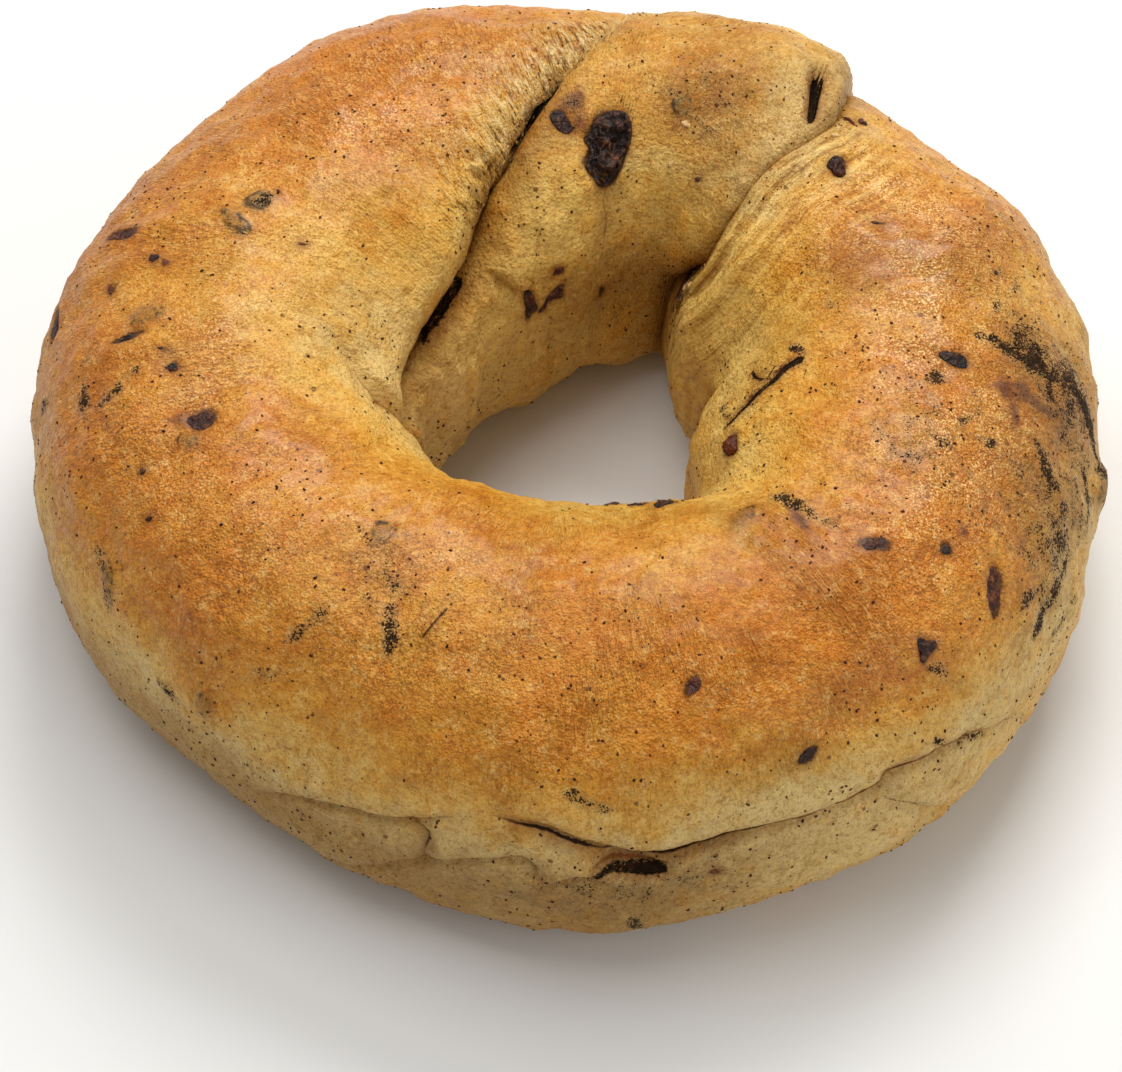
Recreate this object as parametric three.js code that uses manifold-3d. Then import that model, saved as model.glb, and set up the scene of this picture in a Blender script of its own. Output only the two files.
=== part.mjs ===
// A raisin bagel: one rope of dough closed to a ring, with raisins bedded in its crust.
// Millimetres, +Z up. The bagel lies on its flat base with the origin under the middle of its box.
//
// Places on the crust are given by two angles in degrees:
//   around: round the ring, 0 at +X, 90 at +Y (the back, where the rope's ends overlap)
//   across: round the rope's own section, 0 outwards, 90 on top, 180 in the hole, 270 underneath
import * as THREE from "three";
import { mergeVertices } from "three/addons/utils/BufferGeometryUtils.js";
import Module from "manifold-3d";

// ---- Driving dimensions ----------------------------------------------------------------------

const HEIGHT = 36; // of the ring
const BELLY = 0.43; // height of the section's widest line, as a share of HEIGHT
const BASE_CUT = 0.9; // how much of the round section the flat base takes off
const TOP_ROUNDNESS = 2.15; // exponent of the section above its widest line, 2 is an ellipse
const BASE_ROUNDNESS = 2.9; // the same below it, squarer, because the dough sat on a tray

// Radius of the crust and of the hole at equal steps round the ring, from around = 0.
const OUTER_RADII = [52.5, 53.5, 51, 53, 52, 55.5, 55.5, 56, 56, 54, 51.5, 51, 53, 52.5, 54, 53.5];
const HOLE_RADII = [11.5, 14, 14, 20, 16.5, 14, 13.5, 14, 15.5, 15.5, 14, 12, 11, 13.5, 15.5, 11.5];

// The two seams where the rope's end piece is pressed between its limbs. A row is
// [around, across, depth of the seam, how far the limb rounds into it, how far the end piece does].
const LEFT_SEAM = [
  [80, -75, 0.3, 4, 4],
  [83, 20, 0.7, 5, 5],
  [84, 60, 0.9, 6, 4],
  [86, 72.5, 1.2, 6, 3],
  [90, 85, 1.5, 6, 2.5],
  [96, 97, 2.2, 6, 2.5],
  [106, 117, 2.8, 6, 3],
  [112, 125, 3.6, 5.5, 3.5],
  [118, 133.5, 5, 5, 4],
  [126, 142, 6.5, 5, 3.5],
  [142, 149.5, 6.5, 5, 3],
  [158, 153, 5, 5, 3.5],
  [175, 155.5, 4, 5, 4],
  [187, 157, 3, 5, 4],
  [193, 165, 2.6, 5, 3.5],
  [201, 184, 2.6, 6, 3.5],
  [212, 208, 2, 5, 4],
  [221, 240, 1, 4, 4],
  [223, 262, 0.3, 4, 4],
];
const RIGHT_SEAM = [
  [53, -75, 0.3, 4, 4],
  [56, 20, 1.8, 6, 2.5],
  [51.5, 55, 2.2, 7, 2.5],
  [48.5, 70, 1.8, 7, 3],
  [48, 84, 1.1, 7, 4],
  [49.5, 105, 1, 7, 6],
  [49.5, 117, 1.5, 6, 7],
  [52, 138, 3.8, 5, 9],
  [59, 155, 6, 4.5, 9],
  [67, 185, 6, 5, 8],
  [69, 235, 1.5, 4, 5],
  [70, 262, 0.3, 4, 4],
];
const SEAM_STEEPNESS = 3; // fall of a lobe past its own edge, mm for each mm
const SEAM_BLEND = 0.2; // rounding where one lobe takes over from the other

// The limb that swells over the left seam, and the end piece that stands proud at the right one:
// [around, across, spread around, spread across, height].
const LIMB_SWELLS = [[128, 135, 16, 18, 0.8]];
const END_SWELLS = [
  [56, 30, 12, 45, 1.7],
  [60, 75, 16, 25, 0.8],
];

// Folds in the crust. A row is
// [around, across, depth, half width above the line, half width below it, rise of the lip above].
const FOLDS = {
  front: [
    [259, 26.5, 0, 1.5, 1, 0],
    [265, 24, 1.4, 1.6, 1, 0.6],
    [271, 17, 1.9, 2, 1, 1.1],
    [275.5, 13.2, 2.3, 2.4, 1, 1.5],
    [284.5, 12.5, 1.4, 1.8, 1, 1],
    [297.5, 13.2, 0.6, 1.5, 1, 0.5],
    [305.5, 18, 0.8, 1.5, 1, 0.4],
    [318.5, 7, 0.5, 1.5, 1, 0.2],
    [331, -28, 0, 1.5, 1, 0],
  ],
  slot: [
    [269.5, 5.5, 0, 1, 1, 0],
    [272.5, 7.3, 1.8, 1.2, 1, 0],
    [275.5, 6, 3, 1.3, 1, 0],
    [278, 4.4, 2.2, 1.2, 1, 0],
    [280.5, 5, 0, 1, 1, 0],
  ],
  plate: [
    [229, -14, 0, 1, 1, 0],
    [235.5, 0.5, 0.6, 1, 1, 0.4],
    [246, 9, 0.8, 1, 1, 0.5],
    [251, 13.2, 0.8, 1, 1, 0.4],
    [257, 23, 0, 1, 1, 0],
  ],
  leaf: [
    [303, 14.5, 0, 1, 1, 0],
    [306.5, 0, 0.9, 1, 1.2, 0.5],
    [313, -19, 0.7, 1, 1.2, 0.4],
    [322, -26, 0, 1, 1, 0],
  ],
  rim: [
    [175, 116, 0, 1, 1.6, 0],
    [184, 132, 0.8, 1, 1.8, 0.6],
    [188, 140, 1.1, 1, 2, 0.8],
    [189.5, 154, 0.6, 1, 1.6, 0.4],
    [190, 160, 0, 1, 1.6, 0],
  ],
  endValley: [
    [84, 122, 0, 2, 2, 0],
    [82.5, 132, 0.9, 2.2, 2.5, 0],
    [82, 148, 0.9, 2.6, 3, 0],
    [83, 168, 0, 3, 3, 0],
  ],
};
const LIP_REACH = 5; // how far above a fold its lip fades out
const LIP_EDGE = 0.8; // how close to the fold the lip has its full height

// Bumps (and dents, with a height below 0):
// [around, across, half length along the ring, half width across it, height].
const BUMPS = [
  [156, 82, 4.5, 4.5, 0.7],
  [223, 20, 4.5, 4.5, 0.6],
  [312, 112, 7, 3, 0.7],
  [353, 3, 4, 5, 0.7],
  [350, 58, 7, 6, -0.5],
  [100, 140, 8, 6, 0.8],
  [72, 150, 7, 7, 0.7],
  [95, 165, 6, 5, -0.6],
  [276, 45, 14, 6, 0.6],
  [262, 60, 12, 8, -0.5],
  [20, 100, 10, 6, 0.5],
  [330, 80, 12, 8, 0.4],
  [200, 110, 10, 8, -0.5],
  [150, 110, 12, 8, 0.5],
  [240, 50, 12, 8, 0.4],
  [128, 60, 12, 10, 0.4],
];

// The slow unevenness of dough rolled by hand: [height, waves around, waves across, phase].
const ROLLING = [
  [0.22, 7, -2, 2],
  [0.16, 11, 3, 0.4],
];
// The same for its broadest unevenness, the product of two waves: [height, wave, wave], a wave
// being [waves around, waves across, phase].
const TWIST = [0.3, [3, 1.3, 0.7], [-1, 2, 1.1]];

// Raisins: [around, across, length, width, thickness, turn of the length from the ring's run,
// how far the raisin's middle lies below the crust].
const RAISINS = {
  raisin_big: [84.5, 115, 7.8, 5.2, 4.2, 75, 1.3],
  raisin_by_big: [94, 106.5, 3.4, 2.4, 2.4, 110, 0.8],
  raisin_torn_left: [110, 160.5, 3.6, 1.6, 1.8, 63, 0.5],
  raisin_torn_mid: [99.5, 160, 2.2, 1.8, 1.8, 30, 0.5],
  raisin_torn_top: [97.5, 151.5, 2, 1.4, 1.8, 20, 0.6],
  raisin_end_piece: [83, 167, 1.8, 1.5, 1.8, 90, 0.6],
  raisin_seam: [59, 162, 2.2, 1.8, 2, 130, 0.5],
  raisin_left_top: [195.5, 79, 3.6, 2.8, 2.4, 30, 0.8],
  raisin_left_edge: [161, 47.5, 5, 1.9, 2, 98, 0.6],
  raisin_left_side: [170.5, 28, 4.6, 2.5, 2.4, 12, 0.7],
  raisin_left_pit: [179, 63.5, 4.2, 1.5, 1.8, 97, 0.6],
  raisin_right_back: [39, 86.8, 2.3, 2.1, 2, 20, 0.6],
  raisin_right_hole: [328.5, 138, 2.6, 2.4, 2.2, 60, 0.5],
  raisin_right_top: [356, 74, 3.8, 2, 2.2, 82, 0.7],
  raisin_right_long: [326, 44, 5.4, 2.4, 2.4, 36, 0.8],
  raisin_right_crest: [317.5, 79, 3.6, 2.2, 2.2, 137, 0.8],
  raisin_right_front: [313.5, 48.5, 3.2, 2.8, 2.4, 50, 0.8],
  raisin_front_right: [296, 35, 3, 1.8, 2.2, 31, 0.7],
  raisin_front: [284.5, 61, 2.4, 2, 1.8, 100, 0.6],
  raisin_hole_left: [281, 141.5, 2.2, 1.7, 1.8, 0, 0.4],
  raisin_hole_mid: [288, 134, 2.8, 1.9, 1.9, 0, 0.4],
  raisin_hole_right: [294, 128.5, 2.7, 1.8, 1.8, 0, 0.4],
};
const RAISIN_GAP = 0.3; // between a raisin and its pocket
const RAISIN_WRINKLE = 0.1; // share by which a raisin's skin goes in and out
const RAISIN_FOLDS = [5, 4, 4]; // how tightly it is wrinkled along its length, width and thickness
const RAISIN_SIDES = 9;
const RAISIN_RINGS = 6;

// Mesh of the ring. A row is [angle where a stretch starts, number of steps in it]: the steps are
// finer at the back and in the hole, where the seams are, and coarse underneath.
const AROUND_STRETCHES = [
  [38, 42],
  [140, 56],
];
const ACROSS_STRETCHES = [
  [-90, 3],
  [-50, 15],
  [100, 19],
  [200, 3],
  [230, 2],
];
const TRACK_STEPS = 10; // samples between two rows of a seam or fold

const CRUST = { color: 0xc98a45, roughness: 0.42, metalness: 0 };
const RAISIN_SKIN = { color: 0x35170f, roughness: 0.5, metalness: 0 };

// ---- The ring before its seams and folds ------------------------------------------------------

const rad = THREE.MathUtils.degToRad;
const clamp = THREE.MathUtils.clamp;

/** Catmull-Rom value a share f of the way from b to c. */
function smooth(a, b, c, d, f) {
  const bend = 2 * a - 5 * b + 4 * c - d;
  const twist = -a + 3 * b - 3 * c + d;
  return 0.5 * (2 * b + (c - a) * f + bend * f * f + twist * f ** 3);
}

/** One of the lists of radii, read at any angle (radians) round the ring. */
function radiusAt(radii, around) {
  const n = radii.length;
  const place = (THREE.MathUtils.euclideanModulo(around, 2 * Math.PI) / (2 * Math.PI)) * n;
  const i = Math.floor(place);
  const at = (k) => radii[(i + k + n) % n];
  return smooth(at(-1), at(0), at(1), at(2), place - i);
}

/** The section of the rope at an angle round the ring: its centre and its plain reach. */
function sectionAt(around, across) {
  const outer = radiusAt(OUTER_RADII, around);
  const hole = radiusAt(HOLE_RADII, around);
  const radius = (outer + hole) / 2;
  const height = BELLY * HEIGHT;
  const c = Math.cos(across);
  const s = Math.sin(across);
  const side = c > 0 ? outer - radius : radius - hole;
  const rise = s > 0 ? HEIGHT - height : height + BASE_CUT;
  const n = s > 0 ? TOP_ROUNDNESS : BASE_ROUNDNESS;
  const reach = (Math.abs(c / side) ** n + Math.abs(s / rise) ** n) ** (-1 / n);
  return { radius, height, reach };
}

/** The point at a reach from the section's centre. The base is flat at z = 0. */
function pointAt(around, across, section, reach = section.reach) {
  const r = section.radius + reach * Math.cos(across);
  const z = Math.max(section.height + reach * Math.sin(across), 0);
  return new THREE.Vector3(r * Math.cos(around), r * Math.sin(around), z);
}

/** A point of the plain ring. */
function plainPoint(around, across) {
  return pointAt(around, across, sectionAt(around, across));
}

/** The outward normal of a surface given as a function of the two angles. */
function normalAt(surface, around, across, step = 1e-3) {
  const run = surface(around + step, across).sub(surface(around - step, across));
  const climb = surface(around, across + step).sub(surface(around, across - step));
  return run.cross(climb).normalize();
}

// ---- Seams and folds ------------------------------------------------------------------------

/**
 * A line on the crust. It tells how far a point lies to its left or right, and where round the
 * ring it runs.
 */
class Track {
  constructor(rows) {
    const ends = [rows[0], ...rows, rows.at(-1)];
    this.samples = [];
    for (let row = 0; row + 1 < rows.length; row++) {
      for (let k = 0; k < TRACK_STEPS; k++) {
        const four = ends.slice(row, row + 4);
        const values = rows[0].map((_, i) => smooth(...four.map((v) => v[i]), k / TRACK_STEPS));
        const [around, across] = values.map(rad);
        this.samples.push({ at: plainPoint(around, across), around, across, values });
      }
    }
    this.samples.forEach((sample, i) => {
      const before = this.samples[Math.max(i - 1, 0)];
      const after = this.samples[Math.min(i + 1, this.samples.length - 1)];
      sample.run = after.at.clone().sub(before.at).normalize();
      sample.left = normalAt(plainPoint, sample.around, sample.across).cross(sample.run);
    });
  }

  /** The nearest sample's row, and the signed distance from the line, positive on its left. */
  near(point) {
    let best = this.samples[0];
    let least = Infinity;
    for (const sample of this.samples) {
      const d = sample.at.distanceToSquared(point);
      if (d < least) [least, best] = [d, sample];
    }
    const offset = point.clone().sub(best.at);
    const along = offset.dot(best.run);
    const past =
      (best === this.samples[0] && along < 0) || (best === this.samples.at(-1) && along > 0);
    const across2 = Math.max(offset.lengthSq() - (past ? 0 : along * along), 0);
    const side = offset.dot(best.left) < 0 ? -1 : 1;
    return { distance: side * Math.sqrt(across2), values: best.values };
  }

  /** The angle round the ring at which a line that runs steadily across it stands. */
  aroundAt(across) {
    const k = this.samples.findIndex((sample) => sample.across > across);
    if (k <= 0) return this.samples.at(k).around;
    const [a, b] = [this.samples[k - 1], this.samples[k]];
    return a.around + ((across - a.across) / (b.across - a.across)) * (b.around - a.around);
  }
}

const leftSeam = new Track(LEFT_SEAM);
const rightSeam = new Track(RIGHT_SEAM);
const folds = Object.values(FOLDS).map((rows) => new Track(rows));

/** How far a lobe of dough has rounded down at a distance inside its own edge. */
function shoulder(inside, width, depth) {
  if (inside < 0) return depth - SEAM_STEEPNESS * inside;
  const u = 1 - Math.min(inside / width, 1);
  return depth * (1 - Math.sqrt(Math.max(1 - u * u, 0)));
}

/** The larger of two heights, rounded where they meet. */
function softMax(a, b, k) {
  const top = Math.max(a, b);
  return top + k * Math.log(Math.exp((a - top) / k) + Math.exp((b - top) / k));
}

/** The sum of broad swells given by their angles. */
function swell(list, around, across) {
  const turn = THREE.MathUtils.radToDeg(around);
  const lift = THREE.MathUtils.radToDeg(across);
  let sum = 0;
  for (const [t, p, spreadT, spreadP, height] of list) {
    const dt = THREE.MathUtils.euclideanModulo(turn - t + 180, 360) - 180;
    sum += height * Math.exp(-((dt / spreadT) ** 2) - ((lift - p) / spreadP) ** 2);
  }
  return sum;
}

/** The reach of the limb and the end piece together: the seams lie where they meet. */
function withSeams(point, around, across, reach) {
  const left = leftSeam.near(point);
  const right = rightSeam.near(point);
  const nearer = Math.abs(left.distance) < Math.abs(right.distance) ? left : right;
  // The end piece lies between the two seams, from the right one to the left one.
  const turn = THREE.MathUtils.euclideanModulo(around, 2 * Math.PI);
  const isEnd = turn > rightSeam.aroundAt(across) && turn < leftSeam.aroundAt(across);
  const inside = (isEnd ? -1 : 1) * Math.abs(nearer.distance);
  const [, , depth, limbWidth, endWidth] = nearer.values;
  const limb = reach + swell(LIMB_SWELLS, around, across) - shoulder(inside, limbWidth, depth);
  const end = reach + swell(END_SWELLS, around, across) - shoulder(-inside, endWidth, depth);
  return softMax(limb, end, SEAM_BLEND);
}

/** What the folds take off, and what their lips add. */
function foldRelief(point) {
  let sum = 0;
  for (const fold of folds) {
    const { distance, values } = fold.near(point);
    const [, , depth, above, below, lip] = values;
    const away = Math.abs(distance);
    sum -= depth * Math.exp(-((away / (distance > 0 ? above : below)) ** 1.5));
    if (distance > 0) sum += lip * Math.exp(-((away / LIP_REACH) ** 2)) * clamp(away / LIP_EDGE, 0, 1);
  }
  return sum;
}

/** What bumps and dents add. */
function bumpRelief(point) {
  let sum = 0;
  for (const [t, p, halfLength, halfWidth, height] of BUMPS) {
    const offset = point.clone().sub(plainPoint(rad(t), rad(p)));
    const along = offset.dot(new THREE.Vector3(-Math.sin(rad(t)), Math.cos(rad(t)), 0));
    const across2 = Math.max(offset.lengthSq() - along * along, 0);
    sum += height * Math.exp(-((along / halfLength) ** 2) - across2 / halfWidth ** 2);
  }
  return sum;
}

/** What rolling by hand adds. */
function rollingRelief(around, across) {
  const wave = ([m, n, phase]) => Math.sin(m * around + n * across + phase);
  const [height, one, other] = TWIST;
  return ROLLING.reduce((sum, [h, ...w]) => sum + h * wave(w), height * wave(one) * wave(other));
}

/** A point of the finished crust. Across runs from -90 to 270 degrees, in radians. */
function crustPoint(around, across) {
  const section = sectionAt(around, across);
  const plain = pointAt(around, across, section);
  const seamed = withSeams(plain, around, across, section.reach);
  const relief = foldRelief(plain) + bumpRelief(plain) + rollingRelief(around, across);
  return pointAt(around, across, section, seamed + relief);
}

// ---- Meshes ---------------------------------------------------------------------------------

/** The angles of a full turn, in equal steps within each stretch. */
function steppedTurn(stretches) {
  return stretches.flatMap(([from, count], k) => {
    const to = k + 1 < stretches.length ? stretches[k + 1][0] : stretches[0][0] + 360;
    return Array.from({ length: count }, (_, i) => rad(from + ((to - from) * i) / count));
  });
}

/** The closed surface of the ring. */
function doughGeometry() {
  const arounds = steppedTurn(AROUND_STRETCHES);
  const acrosses = steppedTurn(ACROSS_STRETCHES);
  const positions = [];
  for (const around of arounds)
    for (const across of acrosses) positions.push(...crustPoint(around, across).toArray());
  const n = acrosses.length;
  const m = arounds.length;
  const index = [];
  for (let i = 0; i < m; i++) {
    for (let j = 0; j < n; j++) {
      const a = i * n + j;
      const b = ((i + 1) % m) * n + j;
      const c = ((i + 1) % m) * n + ((j + 1) % n);
      const d = i * n + ((j + 1) % n);
      index.push(a, b, c, a, c, d);
    }
  }
  return new THREE.BufferGeometry()
    .setAttribute("position", new THREE.Float32BufferAttribute(positions, 3))
    .setIndex(index);
}

/** A wrinkled raisin bedded in the crust, grown by a gap for its pocket. */
function raisinGeometry([t, p, length, width, thickness, turn, sunk], grow = 0) {
  const around = rad(t);
  const across = rad(p);
  const normal = normalAt(crustPoint, around, across);
  const east = new THREE.Vector3(-Math.sin(around), Math.cos(around), 0);
  east.addScaledVector(normal, -east.dot(normal)).normalize();
  const run = east.applyAxisAngle(normal, rad(turn));
  const middle = crustPoint(around, across).addScaledVector(normal, -sunk);
  const ball = new THREE.SphereGeometry(1, RAISIN_SIDES, RAISIN_RINGS);
  const spots = ball.getAttribute("position");
  for (let i = 0; i < spots.count; i++) {
    const v = new THREE.Vector3().fromBufferAttribute(spots, i);
    const [fx, fy, fz] = RAISIN_FOLDS;
    const wrinkle = 1 + RAISIN_WRINKLE * Math.sin(fx * v.x + fy * v.y + t) * Math.cos(fz * v.z + p);
    const size = new THREE.Vector3(length / 2 + grow, width / 2 + grow, thickness / 2 + grow);
    v.multiplyScalar(wrinkle).multiply(size);
    spots.setXYZ(i, v.x, v.y, v.z);
  }
  const side = normal.clone().cross(run);
  const place = new THREE.Matrix4().makeBasis(run, side, normal).setPosition(middle);
  return ball.applyMatrix4(place);
}

// ---- Cutting the pockets --------------------------------------------------------------------

const wasm = await Module();
wasm.setup();

/** A closed geometry as a solid. */
function solidOf(geometry) {
  const bare = geometry.clone();
  bare.deleteAttribute("normal");
  bare.deleteAttribute("uv");
  const merged = mergeVertices(bare, 1e-4);
  const triVerts = new Uint32Array(merged.index.array);
  const vertProperties = merged.getAttribute("position").array;
  return new wasm.Manifold(new wasm.Mesh({ numProp: 3, vertProperties, triVerts }));
}

/** A solid as a geometry. */
function geometryOf(solid) {
  const mesh = solid.getMesh();
  return new THREE.BufferGeometry()
    .setAttribute("position", new THREE.BufferAttribute(mesh.vertProperties, 3))
    .setIndex(new THREE.BufferAttribute(mesh.triVerts, 1));
}

/** A named mesh with its finish. */
function named(name, geometry, finish) {
  geometry.computeVertexNormals();
  const mesh = new THREE.Mesh(geometry, new THREE.MeshStandardMaterial(finish));
  mesh.name = name;
  return mesh;
}

/** The ring with a pocket for each raisin. */
function doughWithPockets() {
  const pockets = Object.values(RAISINS).map((row) => solidOf(raisinGeometry(row, RAISIN_GAP)));
  return pockets.reduce((dough, pocket) => dough.subtract(pocket), solidOf(doughGeometry()));
}

const group = new THREE.Group();
group.add(named("dough", geometryOf(doughWithPockets()), CRUST));
for (const [name, row] of Object.entries(RAISINS))
  group.add(named(name, raisinGeometry(row), RAISIN_SKIN));

// The origin goes under the middle of the whole bagel's box.
const box = new THREE.Box3().setFromObject(group);
const middle = box.getCenter(new THREE.Vector3());
group.position.set(-middle.x, -middle.y, -box.min.z);

export default group;
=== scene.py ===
"""Looks of a cinnamon-raisin bagel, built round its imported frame.

The dough is two lobes that press into each other at two seams: the long limb and the rope's end
piece. Places on the crust are given by two angles: around the ring (0 at +X, 90 at the back) and
across the rope's own section (0 outwards, 90 on top, 180 in the hole, 270 underneath).
"""

import logging
import math
from dataclasses import dataclass
from enum import Enum
from functools import partial
from typing import Any, Sequence

import bpy
import numpy as np
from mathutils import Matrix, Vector, noise


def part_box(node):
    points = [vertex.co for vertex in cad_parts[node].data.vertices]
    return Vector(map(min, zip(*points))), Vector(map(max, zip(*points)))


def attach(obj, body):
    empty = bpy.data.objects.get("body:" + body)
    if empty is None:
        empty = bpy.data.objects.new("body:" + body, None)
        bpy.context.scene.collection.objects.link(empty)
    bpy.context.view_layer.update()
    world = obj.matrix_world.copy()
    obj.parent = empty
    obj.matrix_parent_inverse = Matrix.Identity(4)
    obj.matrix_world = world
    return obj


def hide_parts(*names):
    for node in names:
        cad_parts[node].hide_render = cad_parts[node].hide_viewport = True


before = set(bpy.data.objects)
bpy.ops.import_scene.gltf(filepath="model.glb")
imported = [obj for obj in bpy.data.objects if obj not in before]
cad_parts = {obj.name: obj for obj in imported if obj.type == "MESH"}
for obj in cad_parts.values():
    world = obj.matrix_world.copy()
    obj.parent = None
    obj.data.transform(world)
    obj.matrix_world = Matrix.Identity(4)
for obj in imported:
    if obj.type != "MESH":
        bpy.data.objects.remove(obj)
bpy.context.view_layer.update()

log = logging.getLogger("bagel")

MM = 0.001  # metres in a millimetre
ROOT = "root"
FAR = 9.0  # mm; a distance that counts as out of reach of a line or a patch

Array = np.ndarray


# ---- Curves and fields ---------------------------------------------------------------------------


def smooth(a: Array, b: Array, c: Array, d: Array, f: Array) -> Array:
    """Catmull-Rom value a share f of the way from b to c."""
    bend = 2 * a - 5 * b + 4 * c - d
    twist = -a + 3 * b - 3 * c + d
    return 0.5 * (2 * b + (c - a) * f + bend * f**2 + twist * f**3)


def ease(low: float, high: float, value: Array) -> Array:
    """A soft step from 0 at low to 1 at high."""
    f = np.clip((value - low) / (high - low), 0, 1)
    return f * f * (3 - 2 * f)


def band(value: Array, rise: tuple[float, float], fall: tuple[float, float]) -> Array:
    """1 between two soft steps, each given by where it leaves 0 and where it reaches 1."""
    return ease(*rise, value) * ease(*fall, value)


def bell(value: Array, width: float | Array) -> Array:
    """A bell curve, 1 at 0 and about a third at the width."""
    return np.exp(-((value / width) ** 2))


@dataclass(frozen=True)
class Ripple:
    """A smooth random field made of plane waves.

    Fields are its wavelength in mm, how far the waves' lengths vary, how many waves it has, and
    the seed that it is drawn from.
    """

    wavelength: float
    spread: float = 0.35
    waves: int = 28
    seed: int = 0

    def at(self, points: Array) -> Array:
        """The field at points.

        Args:
            points: positions in mm, the last axis being X, Y, Z.

        Returns:
            One value for each point, mostly between -1 and 1.
        """
        draw = np.random.default_rng(self.seed)
        runs = draw.normal(size=(self.waves, 3))
        runs /= np.linalg.norm(runs, axis=1, keepdims=True)
        lengths = self.wavelength * np.exp(draw.normal(0, self.spread, self.waves))
        phases = draw.uniform(0, 2 * np.pi, self.waves)
        total = np.zeros(points.shape[:-1])
        for run, length, phase in zip(runs, lengths, phases):
            total += np.sin(points @ (run * 2 * np.pi / length) + phase)
        return total / math.sqrt(self.waves / 2)


# ---- The form of the ring ------------------------------------------------------------------------


@dataclass(frozen=True)
class Section:
    """The rope's section at some angles: its centre's radius and height, and its plain reach."""

    radius: Array
    height: Array
    reach: Array


@dataclass(frozen=True)
class PlainRing:
    """The ring before its seams and folds, in mm."""

    height: float = 36
    belly: float = 0.43
    base_cut: float = 0.9
    top_roundness: float = 2.15
    base_roundness: float = 2.9
    outer_radii: tuple[float, ...] = (
        52.5, 53.5, 51, 53, 52, 55.5, 55.5, 56, 56, 54, 51.5, 51, 53, 52.5, 54, 53.5,
    )  # fmt: skip
    hole_radii: tuple[float, ...] = (
        11.5, 14, 14, 20, 16.5, 14, 13.5, 14, 15.5, 15.5, 14, 12, 11, 13.5, 15.5, 11.5,
    )  # fmt: skip

    @staticmethod
    def radius_at(radii: Sequence[float], around: Array) -> Array:
        """A list of radii at equal steps, read at any angle round the ring."""
        values = np.asarray(radii, float)
        n = len(values)
        place = np.mod(around, 2 * np.pi) / (2 * np.pi) * n
        i = np.floor(place).astype(int)
        four = [values[(i + k) % n] for k in (-1, 0, 1, 2)]
        return smooth(*four, place - i)

    def section(self, around: Array, across: Array) -> Section:
        """The section of the rope at angles in radians."""
        outer = self.radius_at(self.outer_radii, around)
        hole = self.radius_at(self.hole_radii, around)
        radius = (outer + hole) / 2
        height = self.belly * self.height
        c, s = np.cos(across), np.sin(across)
        side = np.where(c > 0, outer - radius, radius - hole)
        rise = np.where(s > 0, self.height - height, height + self.base_cut)
        n = np.where(s > 0, self.top_roundness, self.base_roundness)
        reach = (np.abs(c / side) ** n + np.abs(s / rise) ** n) ** (-1 / n)
        return Section(radius, np.full_like(radius, height), reach)

    @staticmethod
    def place(around: Array, across: Array, section: Section, reach: Array) -> Array:
        """Points at a reach from the section's centre, with the base flat at z = 0."""
        r = section.radius + reach * np.cos(across)
        z = np.maximum(section.height + reach * np.sin(across), 0)
        return np.stack([r * np.cos(around), r * np.sin(around), z], -1)

    def points(self, around: Array, across: Array) -> Array:
        """Points of the plain ring."""
        section = self.section(around, across)
        return self.place(around, across, section, section.reach)

    def normals(self, around: Array, across: Array, step: float = 1e-3) -> Array:
        """Outward normals of the plain ring."""
        run = self.points(around + step, across) - self.points(around - step, across)
        climb = self.points(around, across + step) - self.points(around, across - step)
        normal = np.cross(run, climb)
        return normal / (np.linalg.norm(normal, axis=-1, keepdims=True) + 1e-12)


@dataclass(frozen=True)
class Near:
    """What a track knows of some points.

    Fields are the signed distance in mm, positive on the track's left, how far along the track
    the nearest spot lies, and the track's own values there, one column each.
    """

    distance: Array
    along: Array
    values: Array


class Track:
    """A line on the crust with values that change along it."""

    batch = 20000  # points looked at in one go

    def __init__(self, ring: PlainRing, rows: Sequence[Sequence[float]], steps: int = 24):
        """Samples the line.

        Args:
            ring: the surface it lies on.
            rows: around and across in degrees, then the values.
            steps: samples between two rows.
        """
        table = np.asarray(rows, float)
        ends = np.vstack([table[:1], table, table[-1:]])
        shares = np.arange(steps)[:, None] / steps
        parts = [smooth(*ends[k : k + 4], shares) for k in range(len(table) - 1)]
        samples = np.vstack(parts)
        around, across = np.radians(samples[:, 0]), np.radians(samples[:, 1])
        self.by_lift = (samples[:, 1], samples[:, 0])  # across, and around at each of these
        self.values = samples[:, 2:]
        self.at = ring.points(around, across)
        run = np.gradient(self.at, axis=0)
        self.run = run / (np.linalg.norm(run, axis=1, keepdims=True) + 1e-12)
        self.left = np.cross(ring.normals(around, across), self.run)
        hops = np.linalg.norm(np.diff(self.at, axis=0), axis=1)
        self.length = np.concatenate([[0], np.cumsum(hops)])

    def near(self, points: Array) -> Near:
        """Finds the nearest spot of the line for points of shape (n, 3)."""
        spot = np.empty(len(points), int)
        for start in range(0, len(points), self.batch):
            some = slice(start, start + self.batch)
            gap = (self.at**2).sum(1) - 2 * points[some] @ self.at.T
            spot[some] = gap.argmin(1)
        offset = points - self.at[spot]
        along = (offset * self.run[spot]).sum(1)
        past = ((spot == 0) & (along < 0)) | ((spot == len(self.at) - 1) & (along > 0))
        aside = np.maximum((offset**2).sum(1) - np.where(past, 0, along**2), 0)
        side = np.where((offset * self.left[spot]).sum(1) < 0, -1, 1)
        return Near(side * np.sqrt(aside), self.length[spot] + along, self.values[spot])


class Side(Enum):
    """The two lobes that the dough is made of."""

    LIMB = "limb"
    END = "end"


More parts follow.
